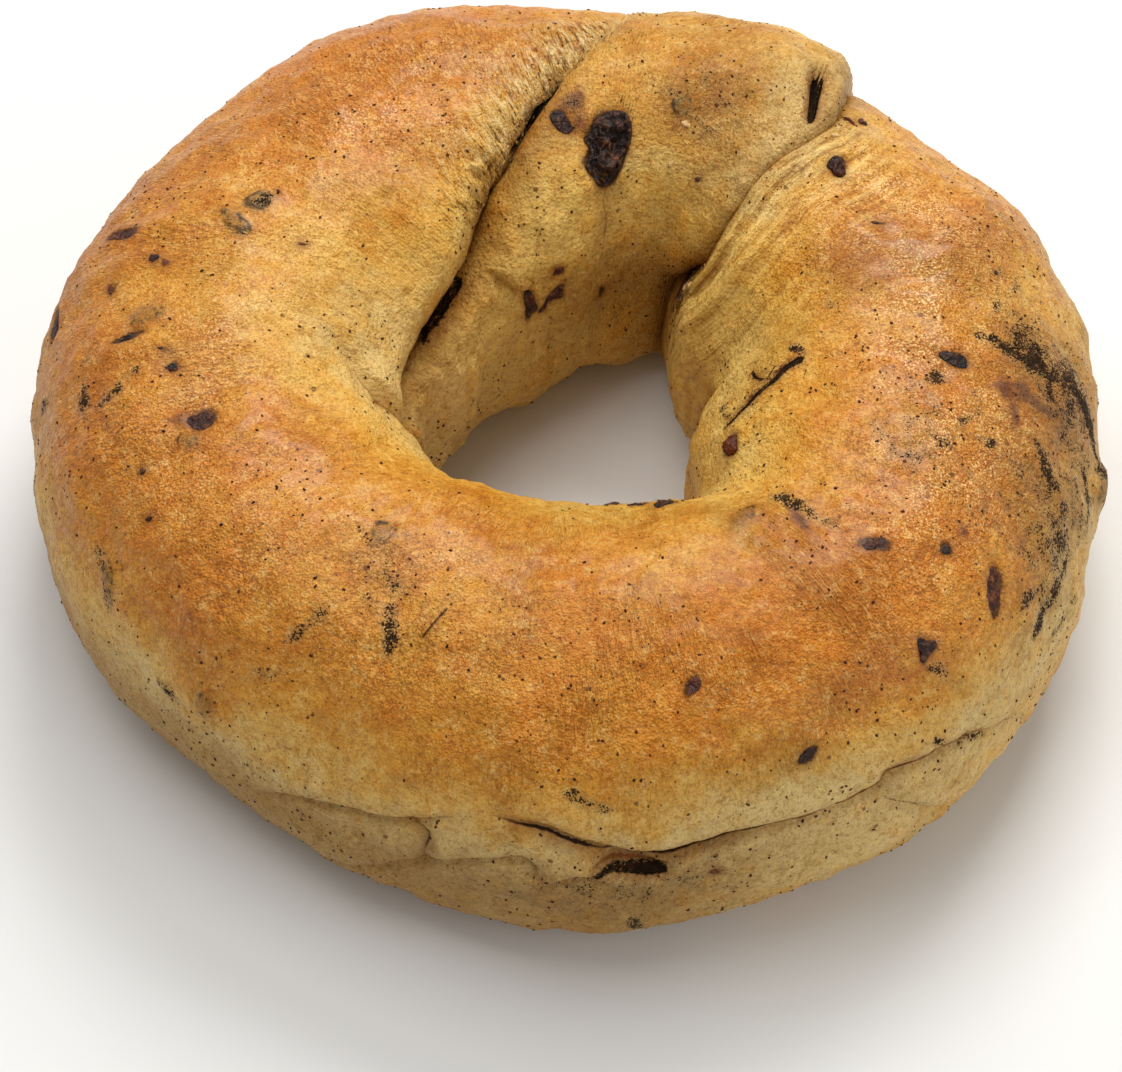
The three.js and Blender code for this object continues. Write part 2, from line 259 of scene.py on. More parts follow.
@dataclass(frozen=True)
class Fold:
    """A fold in the crust.

    Rows are around, across, depth, half width above the line, half width below it, and the rise
    of the lip above it. Line shade is how dark the painted shade along the bottom of the fold is.
    Folds that meet stand in different groups, so that the finish can draw each one's line. Sag is
    how far below the fold that painted shade runs, as a share of the depth, where a lip hangs over
    it.
    """

    rows: tuple[tuple[float, ...], ...]
    ink: float = 1.0
    group: int = 0
    sag: float = 0.0


# Rows as Fold gives them.
FOLDS = {
    "front": Fold((
        (259.5, 26, 0, 1, 0.7, 0), (262.5, 24.4, 0.9, 1.2, 0.6, 0.3), (265.5, 23.5, 1.4, 1.4, 0.6, 0.6),
        (268, 21, 1.6, 1.6, 0.6, 0.8), (271.5, 17, 1.9, 2, 0.6, 1.1), (275.5, 13.2, 2.3, 2.2, 0.6, 1.5),
        (280, 11.8, 2.1, 2.2, 0.6, 1.4), (284.5, 12.5, 1.4, 1.8, 0.6, 1), (290, 14, 0.9, 1.4, 0.6, 0.7),
        (297.5, 13.2, 0.6, 1.2, 0.6, 0.5), (303.5, 14, 0.8, 1, 0.6, 0.4), (305.5, 18, 0.8, 1, 0.6, 0.4),
        (312, 14, 0.7, 1, 0.6, 0.3), (318.5, 7, 0.5, 1, 0.6, 0.2), (325, -9, 0.3, 1, 0.6, 0.1),
        (331, -28, 0, 1, 0.6, 0),
    ), ink=1.2, sag=0.17),
    "slot": Fold((
        (270.3, 8.5, 0, 0.9, 0.7, 0), (271.5, 10.5, 1.0, 0.7, 0.7, 0.1), (273, 12, 1.8, 0.7, 0.8, 0.2),
        (275, 10.6, 2.4, 0.7, 0.9, 0.3), (277, 8.3, 2.6, 0.7, 1, 0.3), (278.5, 7, 2, 0.7, 1, 0.3),
        (280, 6.8, 0, 0.8, 0.7, 0),
    ), ink=0.5, group=1, sag=0.15),
    "plate": Fold((
        (229, -14, 0, 0.8, 0.5, 0), (232.5, -6, 0.4, 0.8, 0.4, 0.3), (235.5, 0.5, 0.6, 0.8, 0.4, 0.4),
        (239.5, 5, 0.7, 0.8, 0.4, 0.5), (246, 9, 0.8, 0.8, 0.4, 0.5), (251, 13.2, 0.8, 0.7, 0.4, 0.4),
        (254.5, 19, 0.5, 0.6, 0.4, 0.2), (257.5, 23, 0, 0.6, 0.5, 0),
    ), ink=0.7, group=1),
    "under_plate": Fold((
        (238, -32, 0, 0.8, 0.4, 0), (242.5, -22, 0.5, 0.8, 0.4, 0.3), (248, -12, 0.6, 0.8, 0.4, 0.3),
        (254.5, 0.5, 0.6, 0.8, 0.4, 0.3), (259, 7.3, 0.6, 0.8, 0.4, 0.3), (264, 11, 0.7, 0.7, 0.4, 0.4),
        (266.5, 3, 0.6, 0.6, 0.4, 0.4), (270, 6.5, 0.6, 0.6, 0.4, 0.3), (273.5, 1, 0.4, 0.6, 0.4, 0.3),
        (277, -7, 0, 0.6, 0.5, 0),
    ), ink=0.5, group=2),
    "tick": Fold((
        (251, 13.5, 0.4, 0.6, 0.4, 0), (253, 9.5, 1, 0.6, 0.4, 0.3), (252.5, 1, 0.9, 0.6, 0.4, 0.2),
        (252.5, -7, 0, 0.6, 0.4, 0),
    ), ink=0.9),
    "leaf": Fold((
        (303, 14.5, 0, 0.5, 0.9, 0), (305, 5, 0.8, 0.5, 1, 0.4), (308.5, -6, 0.9, 0.5, 1, 0.5),
        (313, -19, 0.7, 0.5, 1, 0.4), (322, -26, 0, 0.6, 1, 0),
    ), ink=0.6, group=1),
    "rim": Fold((
        (175, 116, 0, 0.8, 1.5, 0), (179, 126, 0.4, 0.8, 1.6, 0.3), (184, 132, 0.8, 0.7, 1.8, 0.6),
        (187.5, 138, 1.1, 0.6, 2, 0.8), (189, 146, 1, 0.6, 1.8, 0.6), (189.5, 154, 0.6, 0.6, 1.6, 0.4),
        (190, 160, 0, 0.6, 1, 0),
    ), ink=0.45),
    "end_valley": Fold((
        (84, 122, 0, 2, 2, 0), (82.5, 132, 0.9, 2.2, 2.5, 0), (82, 148, 0.9, 2.6, 3, 0),
        (83, 168, 0, 3, 3, 0),
    ), ink=0.0, group=2),
    "end_flap": Fold((
        (124, 144.5, 0, 0.3, 1.2, 0), (120.5, 148, 0.7, 0.15, 1.4, 0.45),
        (116.5, 152.8, 0.8, 0.15, 1.4, 0.55), (110.5, 155.8, 0.6, 0.15, 1.3, 0.45),
        (107, 156.5, 0, 0.3, 1, 0),
    ), ink=0.3),
    "end_slot": Fold((
        (55, 64, 0, 0.6, 0.6, 0), (54.4, 66.8, 2.0, 0.8, 0.8, 0.3), (53.6, 69.5, 2.6, 0.85, 0.85, 0.4),
        (52.2, 74, 2.2, 0.7, 0.7, 0.3), (50.2, 79, 1.4, 0.6, 0.6, 0.2), (49, 84, 0, 0.6, 0.6, 0),
    ), ink=1.0),
    "end_crease": Fold((
        (84.4, 122, 0, 0.6, 0.6, 0), (83.2, 127, 0.5, 0.7, 0.8, 0.15), (83.8, 132, 0.55, 0.7, 0.9, 0.15),
        (82.6, 138, 0.45, 0.7, 0.9, 0.1), (82.9, 145, 0.5, 0.7, 0.9, 0.1),
        (81.6, 154, 0.35, 0.7, 0.9, 0), (81.2, 162, 0.3, 0.7, 0.9, 0), (80.4, 172, 0, 0.6, 0.6, 0),
    ), ink=0.9),
    "end_ear": Fold((
        (53.5, 55, 0, 0.6, 0.7, 0), (52, 65, 0.6, 0.6, 0.7, 0.3), (50.6, 72, 0.6, 0.6, 0.7, 0.3),
        (49.5, 77, 0, 0.6, 0.7, 0),
    ), ink=0.3, group=1),
    "stretch_wide": Fold((
        (28, 66, 0, 2, 2, 0), (32, 84, 0.3, 2, 2, 0.1), (37, 108, 0.35, 2, 2, 0.1),
        (42, 132, 0.3, 2, 2, 0), (47, 150, 0, 2, 2, 0),
    ), ink=0.0, group=2),
    "stretch_narrow": Fold((
        (38, 84, 0, 1.5, 1.5, 0), (41, 96, 0.4, 1.6, 1.6, 0.1), (43, 120, 0.4, 1.6, 1.6, 0.1),
        (50, 142, 0, 1.5, 1.5, 0),
    ), ink=0.2, group=1),
    "hole_crease": Fold((
        (216, 98, 0, 1.6, 2, 0), (213, 110, 0.4, 1.8, 2.5, 0.1), (208, 128, 0.3, 1.8, 2.5, 0.1),
        (203, 140, 0, 2, 2, 0),
    ), ink=0.0, group=2),
}  # fmt: skip


# ---- Fruit and grit: where they lie --------------------------------------------------------------


@dataclass(frozen=True)
class Patch:
    """A small shape laid on the crust.

    Fields are its angles in degrees, its length and width in mm, and the turn of its length from
    the ring's run. An irregular one has an outline instead: radii in mm at equal steps, of which
    the first points along the ring's run.
    """

    around: float
    across: float
    length: float = 0
    width: float = 0
    turn: float = 0
    outline: tuple[float, ...] = ()

    def radius(self, angle: Array) -> Array:
        """How far its edge lies from its middle, at angles from the ring's run."""
        if self.outline:
            return PlainRing.radius_at(self.outline, angle)
        bent = angle - math.radians(self.turn)
        plain = 1 / np.hypot(2 * np.cos(bent) / self.length, 2 * np.sin(bent) / self.width)
        luck = self.around + self.across
        return plain * (1 + sum(0.3 / k * np.sin(k * bent + k * luck) for k in (3, 5, 8)))

    def axes(self, ring: PlainRing) -> tuple[Array, Array, Array, Array]:
        """Its middle, the ways along and across the rope there, and the way out of the crust."""
        t, p = math.radians(self.around), math.radians(self.across)
        up = ring.normals(np.array(t), np.array(p))
        run = np.array([-math.sin(t), math.cos(t), 0])
        run -= up * run.dot(up)
        run /= np.linalg.norm(run)
        return ring.points(np.array(t), np.array(p)), run, np.cross(up, run), up

    def distance(self, ring: PlainRing, points: Array) -> Array:
        """Signed distance in mm of plain points from its edge, below 0 inside it."""
        middle, run, climb, _ = self.axes(ring)
        offset = points - middle
        angle = np.arctan2(offset @ climb, offset @ run)
        return np.linalg.norm(offset, axis=1) - self.radius(angle)


@dataclass(frozen=True)
class Fruit(Patch):
    """A piece of fruit that shows in the crust.

    Further fields are how far it stands proud of the crust in mm, how reddish it is from 0 to 1,
    and the depth of its wrinkles in mm.
    """

    proud: float = 0.25
    warmth: float = 0.3
    wrinkle: float = 0.22


RAISINS = {
    "raisin_big": Fruit(
        84, 115, outline=(2.0, 2.1, 3.2, 3.6, 4.6, 3.9, 2.8, 2.5, 2.5, 2.7, 3.1, 3.55, 3.65, 3.5, 2.6, 2.8),
        proud=0.85, warmth=0.1, wrinkle=0.95,
    ),
    "raisin_by_big": Fruit(
        94, 106.5, outline=(1.0, 0.95, 1.2, 1.7, 1.0, 0.85, 1.35, 1.4),
        proud=0.35, warmth=0.1, wrinkle=0.35,
    ),
    "raisin_torn_left": Fruit(
        110, 160.5, outline=(0.6, 1.1, 1.9, 1.3, 0.7, 0.9, 1.7, 1.0),
        proud=0.4, warmth=0.3, wrinkle=0.4,
    ),
    "raisin_torn_mid": Fruit(
        99.5, 160, outline=(1.2, 0.9, 0.75, 1.2, 1.0, 1.5, 0.8, 0.7),
        proud=0.45, warmth=0.45, wrinkle=0.4,
    ),
    "raisin_torn_top": Fruit(97.5, 151.5, 1.5, 0.9, 20, warmth=0.8),
    "raisin_end_piece": Fruit(83, 167, 1.5, 0.9, 90, proud=0.1, warmth=0.2),
    "raisin_seam": Fruit(59, 162, 1.8, 1.4, 130, proud=0.5, warmth=0.5),
    "raisin_left_top": Fruit(195.5, 79, outline=(1.1, 1.2, 1.7, 1.6, 1.1, 1.7, 1.3, 1.2), warmth=0.35),
    "raisin_left_edge": Fruit(161, 47.5, outline=(0.65, 1.3, 2.6, 1.0, 0.65, 1.1, 1.7, 0.9), warmth=0.6),
    "raisin_left_side": Fruit(170.5, 28, 4.2, 2.0, 12, proud=0.4),
    "raisin_left_pit": Fruit(179, 63.5, 3.9, 1.0, 97, proud=0.12, warmth=0.1, wrinkle=0.3),
    "raisin_right_back": Fruit(
        39, 86.8, outline=(1.0, 1.1, 0.8, 1.15, 1.2, 0.8, 1.0, 1.15),
        proud=0.8, warmth=0.35, wrinkle=0.6,
    ),
    "raisin_right_hole": Fruit(
        328.5, 138, outline=(1.3, 1.2, 1.0, 1.3, 1.15, 1.3, 0.95, 1.2),
        proud=0.9, warmth=0.9, wrinkle=0.55,
    ),
    "raisin_right_top": Fruit(356, 74, 3.5, 1.6, 82, proud=0.35, warmth=0.05),
    "raisin_right_long": Fruit(326, 44, 5.2, 2.0, 36, proud=0.25, warmth=0.55, wrinkle=0.3),
    "raisin_right_crest": Fruit(
        317.5, 79, outline=(1.15, 0.75, 1.1, 1.8, 1.15, 0.7, 1.1, 1.8),
        proud=0.12, warmth=0.45,
    ),
    "raisin_right_front": Fruit(
        313.5, 48.5, outline=(1.5, 0.8, 1.5, 1.0, 0.65, 1.45, 0.7, 0.85),
        proud=0.4, warmth=0.15,
    ),
    "raisin_front_right": Fruit(296, 35, 2.6, 1.2, 31, proud=0.3, warmth=0.25),
    "raisin_front": Fruit(284.5, 61, outline=(0.9, 1.15, 0.8, 0.7, 0.95, 1.35, 0.8, 0.7), warmth=0.75),
    "raisin_hole_left": Fruit(
        281, 141.5, outline=(0.95, 0.7, 0.7, 0.55, 0.95, 0.8, 0.5, 0.85),
        proud=0.45, warmth=0.15,
    ),
    "raisin_hole_mid": Fruit(
        288, 134, outline=(1.3, 0.95, 0.7, 0.95, 1.2, 0.75, 0.8, 1.05),
        proud=0.45, warmth=0.2,
    ),
    "raisin_hole_right": Fruit(
        294, 128.5, outline=(1.2, 0.75, 0.8, 0.65, 1.15, 0.95, 0.6, 0.9),
        proud=0.4, warmth=0.2,
    ),
}

# Bits of fruit too small to be pieces of their own.
BITS = (
    Fruit(166, 64.5, 1.3, 1.1, 100, warmth=0.3),
    Fruit(166.7, 68.6, 0.9, 0.9, 0, proud=0.1, warmth=1.0),
    Fruit(170, 53, 1.4, 0.8, 20, proud=0.15, warmth=0.8),
    Fruit(185.5, 75.5, 1.5, 1.1, 80, proud=0.2, warmth=0.1, wrinkle=0.4),
    Fruit(182.5, 73.5, 1.3, 0.5, 60, proud=0.15, warmth=0.2),
    Fruit(157.5, 103.2, 1.4, 0.32, 110, proud=0.1, warmth=0.8),
    Fruit(284.5, -1, 1.0, 0.9, 0, proud=0.15, warmth=0.85),
    Fruit(104.5, 163, 2.2, 0.7, 60, proud=0.15, warmth=0.3),
    Fruit(150, 88.5, 0.8, 0.3, 20, warmth=0.2),
    Fruit(324.5, 62.5, 1.5, 1.2, -30, proud=0.08, warmth=0.1),
    Fruit(199, 58, 0.9, 0.8, 0, proud=0.2, warmth=0.4),
    Fruit(205, 52.5, 0.9, 0.6, 70, proud=0.2, warmth=0.35),
    Fruit(12.5, 61.5, 0.8, 0.6, 0, proud=0.15, warmth=0.1),
    Fruit(62, 121, 0.9, 0.6, 40, proud=0.15, warmth=0.8),
    Fruit(24, 92, 1.7, 0.5, 60, proud=0.15, warmth=0.05, wrinkle=0.4),
    Fruit(46.8, 66.5, 2.8, 0.3, 4, proud=0.3, warmth=0.9),
    Fruit(45.6, 62.5, 1.4, 0.8, 8, proud=0.3, warmth=0.4, wrinkle=0.4),
)

# Flakes of dried dough that stand up from the skin.
FLAKES = (
    Fruit(68.5, 108.5, 1.4, 1.0, 40, proud=0.12, wrinkle=0.35),
    Fruit(67, 105, 0.9, 0.7, 0, proud=0.1, wrinkle=0.35),
    Fruit(69, 121, 0.9, 0.6, 60, proud=0.1, wrinkle=0.35),
    Fruit(277, 36, 1.5, 0.9, 80, proud=0.1, wrinkle=0.35),
    Fruit(45.5, 76, 1.6, 0.6, 60, proud=0.15, wrinkle=0.4),
    Fruit(46.5, 72, 1.0, 0.5, 110, proud=0.12, wrinkle=0.35),
    Fruit(54, 150, 1.5, 0.7, 50, proud=0.12, wrinkle=0.35),
    Fruit(58, 158, 1.3, 0.7, 60, proud=0.15, wrinkle=0.4),
)

# Lumps where thin dough covers sunk fruit, and how high they rise in mm.
COVERED = (
    (Patch(153, 85.2, 2.5, 2.4, 0), 0.45),
    (Patch(158, 83, 3.9, 1.5, 64), 0.3),
    (Patch(176, 68, 2.4, 3.6, 5), 0.55),
    (Patch(198.2, 73.8, 2.3, 1.6, 60), 0.2),
    (Patch(70.2, 104, 2.2, 2.2, 0), 0.35),
    (Patch(224, 20.5, 1.7, 2.8, 10), 0.5),
    (Patch(206, 29, 4.4, 1.2, -50), 0.2),
    (Patch(352.5, 12, 4.4, 2.6, 0), 0.5),
    (Patch(306, 110, 3.4, 1.4, 20), 0.3),
    (Patch(232, 92, 3.4, 2.0, 100), 0.2),
)

# Brown stains of juice in the skin.
STAINS = (
    Patch(353.6, 58.5, 3.0, 3.0, 20),
    Patch(354.2, 52.5, 3.4, 2.6, 20),
    Patch(353.2, 46.5, 1.3, 4.6, 0),
    Patch(350, 55, 3.6, 1.2, 10),
    Patch(312.8, 99, 1.3, 4.2, -14),
    Patch(328.5, 60.5, 2.0, 2.0, 0),
    Patch(91, 100.5, 3.0, 2.0, 30),
    Patch(90, 106.5, 1.6, 2.4, 0),
    Patch(194, 74, 1.6, 2.2, 0),
    Patch(70, 110, 1.2, 1.4, 0),
)

# Lines of gritty cinnamon: [around, across, half width].
GRIT = {
    "crack_fork": ((353, 145.2, -0.2), (349, 144.6, -0.1), (345, 143, 0.0), (340, 141.5, 0.0)),
    "crack_end": ((355, 117, -0.1), (357.5, 118.2, 0.0), (360, 120.5, -0.2)),
    "crack_side": ((341, 136.5, -0.3), (347, 130.5, -0.15), (353, 124, -0.15), (356, 119, -0.2)),
    "hole_streak": (
        (314, 113.75, -0.3), (314.5, 108.5, 0.0), (315, 102.5, 0.1), (315.5, 96.5, 0.0),
        (316.5, 90.5, -0.3),
    ),
    "right_smear": (
        (362, 68, -0.4), (361, 62, 0.1), (360.2, 57.5, 0.5), (359.5, 51.5, 0.7), (359, 44.8, 0.8),
        (359, 36.5, 0.8), (358.3, 31, 0.6), (357, 24.5, 0.4), (355, 18, 0.1), (353, 14, -0.4),
    ),
    "smear_side": ((366, 52, -0.9), (364, 47, -0.2), (363.5, 42, 0.0), (363, 36, -0.2), (361, 28, -0.7)),
    "right_haze": ((25, 62, -1.0), (16, 60, -0.6), (8, 62, -0.45), (3, 66, -0.5)),
    "under_top": ((354, 79.25, -0.3), (352.5, 79.25, 0.1), (350.5, 81.5, 0.0), (349.5, 83.75, -0.3)),
    "front_left": (
        (234, 90, -0.9), (236, 85.2, -0.5), (238.5, 80, -0.3), (240, 74.8, -0.2), (241.5, 69.5, 0.2),
        (243, 64.2, 0.2), (243, 60, -0.4),
    ),
    "front_left_side": ((246, 92, -0.9), (249, 84, -0.6), (247, 76, -0.7), (245, 70, -1.0)),
    "edge_a": ((180, 49.25, -0.3), (182, 47.75, -0.15), (185, 46.25, 0.0), (187, 45.5, -0.3)),
    "edge_b": (
        (185, 65, -0.3), (185.5, 60.5, -0.15), (187, 59, -0.2), (187, 53, -0.15), (187, 49.25, -0.3),
    ),
    "edge_c": ((180, 32.75, -0.3), (180.5, 29.75, -0.05), (180.2, 21.5, -0.2), (180.5, 17, -0.3)),
    "low_left": (
        (233, 67.25, -0.2), (232.5, 63.5, 0.0), (232, 59.75, -0.15), (231, 55.25, -0.15),
        (230.5, 52.25, -0.3),
    ),
    "right_low": (
        (340.5, 19.25, -0.3), (338, 20.75, 0.3), (334.5, 22, 0.45), (332, 21.5, 0.3), (329.5, 20.8, 0.2),
        (327, 20.8, -0.4),
    ),
    "right_low_side": ((333, 28.25, -0.3), (330.5, 30.5, 0.2), (328.5, 32, 0.15), (327.5, 31.25, -0.4)),
    "right_flecks": ((346.5, 44.75, -0.4), (345.5, 41, 0.2), (344.5, 38, 0.2), (343.5, 35.75, -0.4)),
    "spots_a": ((337, 83.75, -0.4), (337.5, 81.5, 0.15), (338, 79.25, -0.4)),
    "spots_b": ((339, 76.25, -0.4), (339.5, 74, 0.25), (339.5, 71, -0.4)),
    "spots_c": ((343, 64.25, -0.4), (343.5, 61.25, 0.2), (344, 59, -0.4)),
    "spots_d": ((337, 67.25, -0.4), (337, 64.25, 0.15), (336.5, 62.75, -0.4)),
    "flecks_right": ((350, 33, -0.4), (348, 30, 0.15), (346.5, 26, 0.1), (345, 20, -0.4)),
    "flecks_high": (
        (349, 48, -0.5), (347, 45.5, 0.0), (344.5, 40, 0.15), (342, 37, 0.0), (339, 36.5, -0.4),
    ),
    "flecks_mid": ((344.5, 35, -0.5), (343, 32, 0.15), (341.5, 26, 0.1), (341, 21, -0.4)),
    "flecks_side": ((351, 27, -0.5), (349.5, 23, 0.15), (347, 17, 0.05), (344, 12, -0.4)),
    "lump_side": ((352.8, 19, -0.4), (352.8, 14, 0.35), (352.3, 7, 0.35), (351.6, 0, -0.3)),
    "flecks_low": ((338.5, 12, -0.5), (337, 9, 0.0), (334.5, 8, 0.1), (331, 9, -0.4)),
    "flecks_edge": ((343, 27, -0.4), (341, 24, 0.15), (339, 26, -0.4)),
    "flecks_crest": ((351, 68, -0.5), (348, 66, -0.2), (346, 69, -0.2), (343, 71, -0.5)),
    "spots_e": ((338, 56, -0.4), (338, 53.75, 0.15), (337.5, 51.5, -0.4)),
    "cluster_front": ((229, 41.75, -0.4), (230.5, 41.75, -0.1), (231.5, 42.5, -0.4)),
    "low_mark": (
        (202, 32, -0.4), (203.5, 31.25, -0.2), (205.5, 28.25, -0.2), (206.5, 23, -0.25),
        (208, 21.5, -0.4),
    ),
    "low_spot": ((217, 14, -0.4), (218.5, 12.5, -0.1), (219, 8.75, -0.4)),
    "over_front": ((268.5, 35, -0.4), (270, 33.5, -0.3), (271.5, 32, -0.3), (273, 29.75, -0.4)),
    "bottom_spot": ((275, -12.25, -0.4), (275.5, -16, -0.1), (276.5, -19.75, -0.4)),
    "dots_right_front": (
        (312.5, 42.5, -0.4), (314, 41.75, -0.2), (314.5, 36.5, -0.2), (315.5, 31.25, -0.4),
    ),
    "dots_low": ((311, 21.5, -0.4), (313.5, 11.75, -0.25), (315.5, 10.25, -0.25), (317.5, 6.5, -0.4)),
    "beside_hole": ((337, 91.25, -0.4), (334.5, 86, -0.2), (333.5, 83.75, -0.4)),
    "above_hole": ((10.5, 110.75, -0.4), (9, 110, -0.15), (7.5, 107, -0.4)),
    "veiled_edge": ((154.5, 83, -0.3), (153.5, 86.5, -0.1), (151.5, 87.5, -0.15), (150.5, 86, -0.3)),
    "covered_chip": ((158, 86.5, -0.3), (159.5, 86.5, -0.1), (160.5, 84.5, -0.2)),
    "by_big": ((92.5, 99, -0.5), (91, 101.5, -0.1), (89.5, 103, -0.4)),
    "end_specks": ((77, 101, -0.7), (73, 102, -0.45), (69.5, 104, -0.35), (66, 107, -0.6)),
}  # fmt: skip

# Openings and cracks, black inside them as painted shade: [around, across, half width].
CREVICES = {
    "crack": (
        (336.5, 144, -0.1), (337, 143, 0.06), (339, 139.3, 0.14), (341.5, 134.8, 0.18),
        (345.5, 131, 0.2), (349, 127.2, 0.25), (350.5, 125, 0.22), (353, 122.8, 0.26),
        (354.5, 119.8, 0.32), (355.2, 117.5, 0.3), (355.4, 115.5, -0.1),
    ),
    "crack_arm": (
        (350.5, 127.5, -0.1), (351.5, 129.5, 0.1), (353, 132, 0.14), (357, 134, 0.14),
        (359, 135.5, -0.1),
    ),
    "front_slot": (
        (270.4, 5.6, -0.1), (271.3, 7.2, 0.14), (273, 9.4, 0.26), (275, 7.8, 0.3), (277, 5.6, 0.4),
        (278.5, 4.7, 0.42), (279.8, 4.8, -0.1),
    ),
    "end_slot": (
        (54.9, 64.6, -0.1), (54.4, 66.5, 0.42), (53.6, 69.5, 0.55), (52.1, 74, 0.45), (50.3, 78.5, 0.36),
        (49.5, 80.8, 0.2), (49.1, 82.5, -0.1),
    ),
    "gap_high": (
        (100, 105, -0.1), (101.5, 107.5, 0.06), (103, 110, 0.12), (105, 113.5, 0.08), (107, 117.5, -0.1),
    ),
    "gap_top": (
        (92, 88.5, -0.1), (94, 93, 0.08), (96, 97.5, 0.25), (98, 101, 0.45), (99.6, 104, 0.3),
        (101.5, 108, 0.15), (103, 111, -0.1),
    ),
    "gap_low": (
        (127, 144, -0.1), (130, 146, 0.1), (133, 147.6, 0.2), (139, 149.6, 0.24), (145, 151.4, 0.24),
        (152, 153, 0.1), (158, 154, -0.1),
    ),
    "hairline": (
        (249.4, 79.5, -0.1), (249, 77.8, 0.04), (248, 72.5, 0.05), (247, 67.2, 0.04),
        (246.6, 65.5, -0.1),
    ),
}  # fmt: skip


@dataclass
class DoughForm:
    """The finished form of the dough, in mm about the ring's axis."""

    ring: PlainRing = PlainRing()
    # [around, across, depth of the seam, how far the limb rounds into it, how far the end does]
    left_seam: tuple[tuple[float, ...], ...] = (
        (80, -75, 0.3, 4, 4), (83, 20, 0.7, 5, 5), (84, 60, 0.6, 5, 3), (86, 72.5, 0.8, 5, 2.5),
        (90, 85, 1.1, 5.5, 2), (96, 97, 2.2, 6, 2.5), (106, 117, 2.8, 6, 3), (112, 125, 3.6, 5.5, 3.5),
        (118, 133.5, 5, 5, 4), (126, 142, 6.5, 5, 3.5), (142, 149.5, 6.5, 5, 3), (158, 153, 5, 5, 3.5),
        (175, 155.5, 4, 5, 4), (187, 157, 3, 5, 4), (193, 165, 2.6, 5, 3.5), (201, 184, 2.6, 6, 3.5),
        (212, 208, 2, 5, 4), (221, 240, 1, 4, 4), (223, 262, 0.3, 4, 4),
    )  # fmt: skip
    right_seam: tuple[tuple[float, ...], ...] = (
        (53, -75, 0.3, 4, 4), (56, 20, 1.8, 6, 2.5), (51.5, 55, 2.2, 7, 2.5), (48.5, 70, 1.8, 7, 3),
        (48, 84, 1.1, 7, 4), (49.5, 105, 1, 7, 6), (49.5, 117, 1.5, 6, 7), (52, 138, 3.8, 5, 9),
        (59, 155, 6, 4.5, 9), (67, 185, 6, 5, 8), (69, 235, 1.5, 4, 5), (70, 262, 0.3, 4, 4),
    )  # fmt: skip
    steepness: float = 3
    core_reach: float = 5  # a lobe shrinks to this inside the other one
    # [around, across, spread around, spread across, height]
    limb_swells: tuple[tuple[float, ...], ...] = ((128, 135, 16, 18, 0.8),)
    end_swells: tuple[tuple[float, ...], ...] = ((56, 30, 12, 45, 1.7), (60, 75, 16, 25, 0.8))
    lip_reach: float = 5
    lip_edge: float = 0.8
    fine_steps: int = 8
    # [around, across, half length along the ring, half width across it, height]
    bumps: tuple[tuple[float, ...], ...] = (
        (156, 82, 4.5, 4.5, 0.7), (223, 20, 4.5, 4.5, 0.6), (312, 112, 7, 3, 0.7), (353, 3, 4, 5, 0.7),
        (350, 58, 7, 6, -0.5), (100, 140, 8, 6, 0.8), (72, 150, 7, 7, 0.7), (95, 165, 6, 5, -0.6),
        (276, 45, 14, 6, 0.6), (262, 60, 12, 8, -0.5), (20, 100, 10, 6, 0.5), (330, 80, 12, 8, 0.4),
        (200, 110, 10, 8, -0.5), (150, 110, 12, 8, 0.5), (240, 50, 12, 8, 0.4), (128, 60, 12, 10, 0.4),
    )  # fmt: skip
    # [height, waves around, waves across, phase]
    rolling: tuple[tuple[float, ...], ...] = ((0.22, 7, -2, 2), (0.16, 11, 3, 0.4))

    def __post_init__(self) -> None:
        """Lays the seams, folds and fine lines on the ring."""
        self.seam_left = Track(self.ring, self.left_seam)
        self.seam_right = Track(self.ring, self.right_seam)
        self.folds = [(fold, Track(self.ring, fold.rows)) for fold in FOLDS.values()]
        self.grit = [Track(self.ring, rows, self.fine_steps) for rows in GRIT.values()]
        self.crevices = [Track(self.ring, rows, self.fine_steps) for rows in CREVICES.values()]

    def shoulder(self, inside: Array, width: Array, depth: Array) -> Array:
        """How far a lobe has rounded down at a distance inside its own edge."""
        u = 1 - np.clip(inside / width, 0, 1)
        rounded = depth * (1 - np.sqrt(np.maximum(1 - u * u, 0)))
        return np.where(inside < 0, depth - self.steepness * inside, rounded)

    @staticmethod
    def swell(rows: Sequence[Sequence[float]], around: Array, across: Array) -> Array:
        """The sum of broad swells given by their angles."""
        turn, lift = np.degrees(around), np.degrees(across)
        total = np.zeros(np.broadcast(turn, lift).shape)
        for t, p, spread_t, spread_p, height in rows:
            dt = (turn - t + 180) % 360 - 180
            total += height * np.exp(-((dt / spread_t) ** 2) - ((lift - p) / spread_p) ** 2)
        return total

    def spots(self, rows: Sequence[Sequence[float]], points: Array) -> Array:
        """The sum of bumps given by their places and their half sizes in mm."""
        total = np.zeros(len(points))
        for t, p, half_length, half_width, height in rows:
            around = math.radians(t)
            offset = points - self.ring.points(np.array(around), np.radians(p))
            run = np.array([-math.sin(around), math.cos(around), 0])
            along = offset @ run
            aside = np.maximum((offset**2).sum(1) - along**2, 0)
            total += height * np.exp(-((along / half_length) ** 2) - aside / half_width**2)
        return total

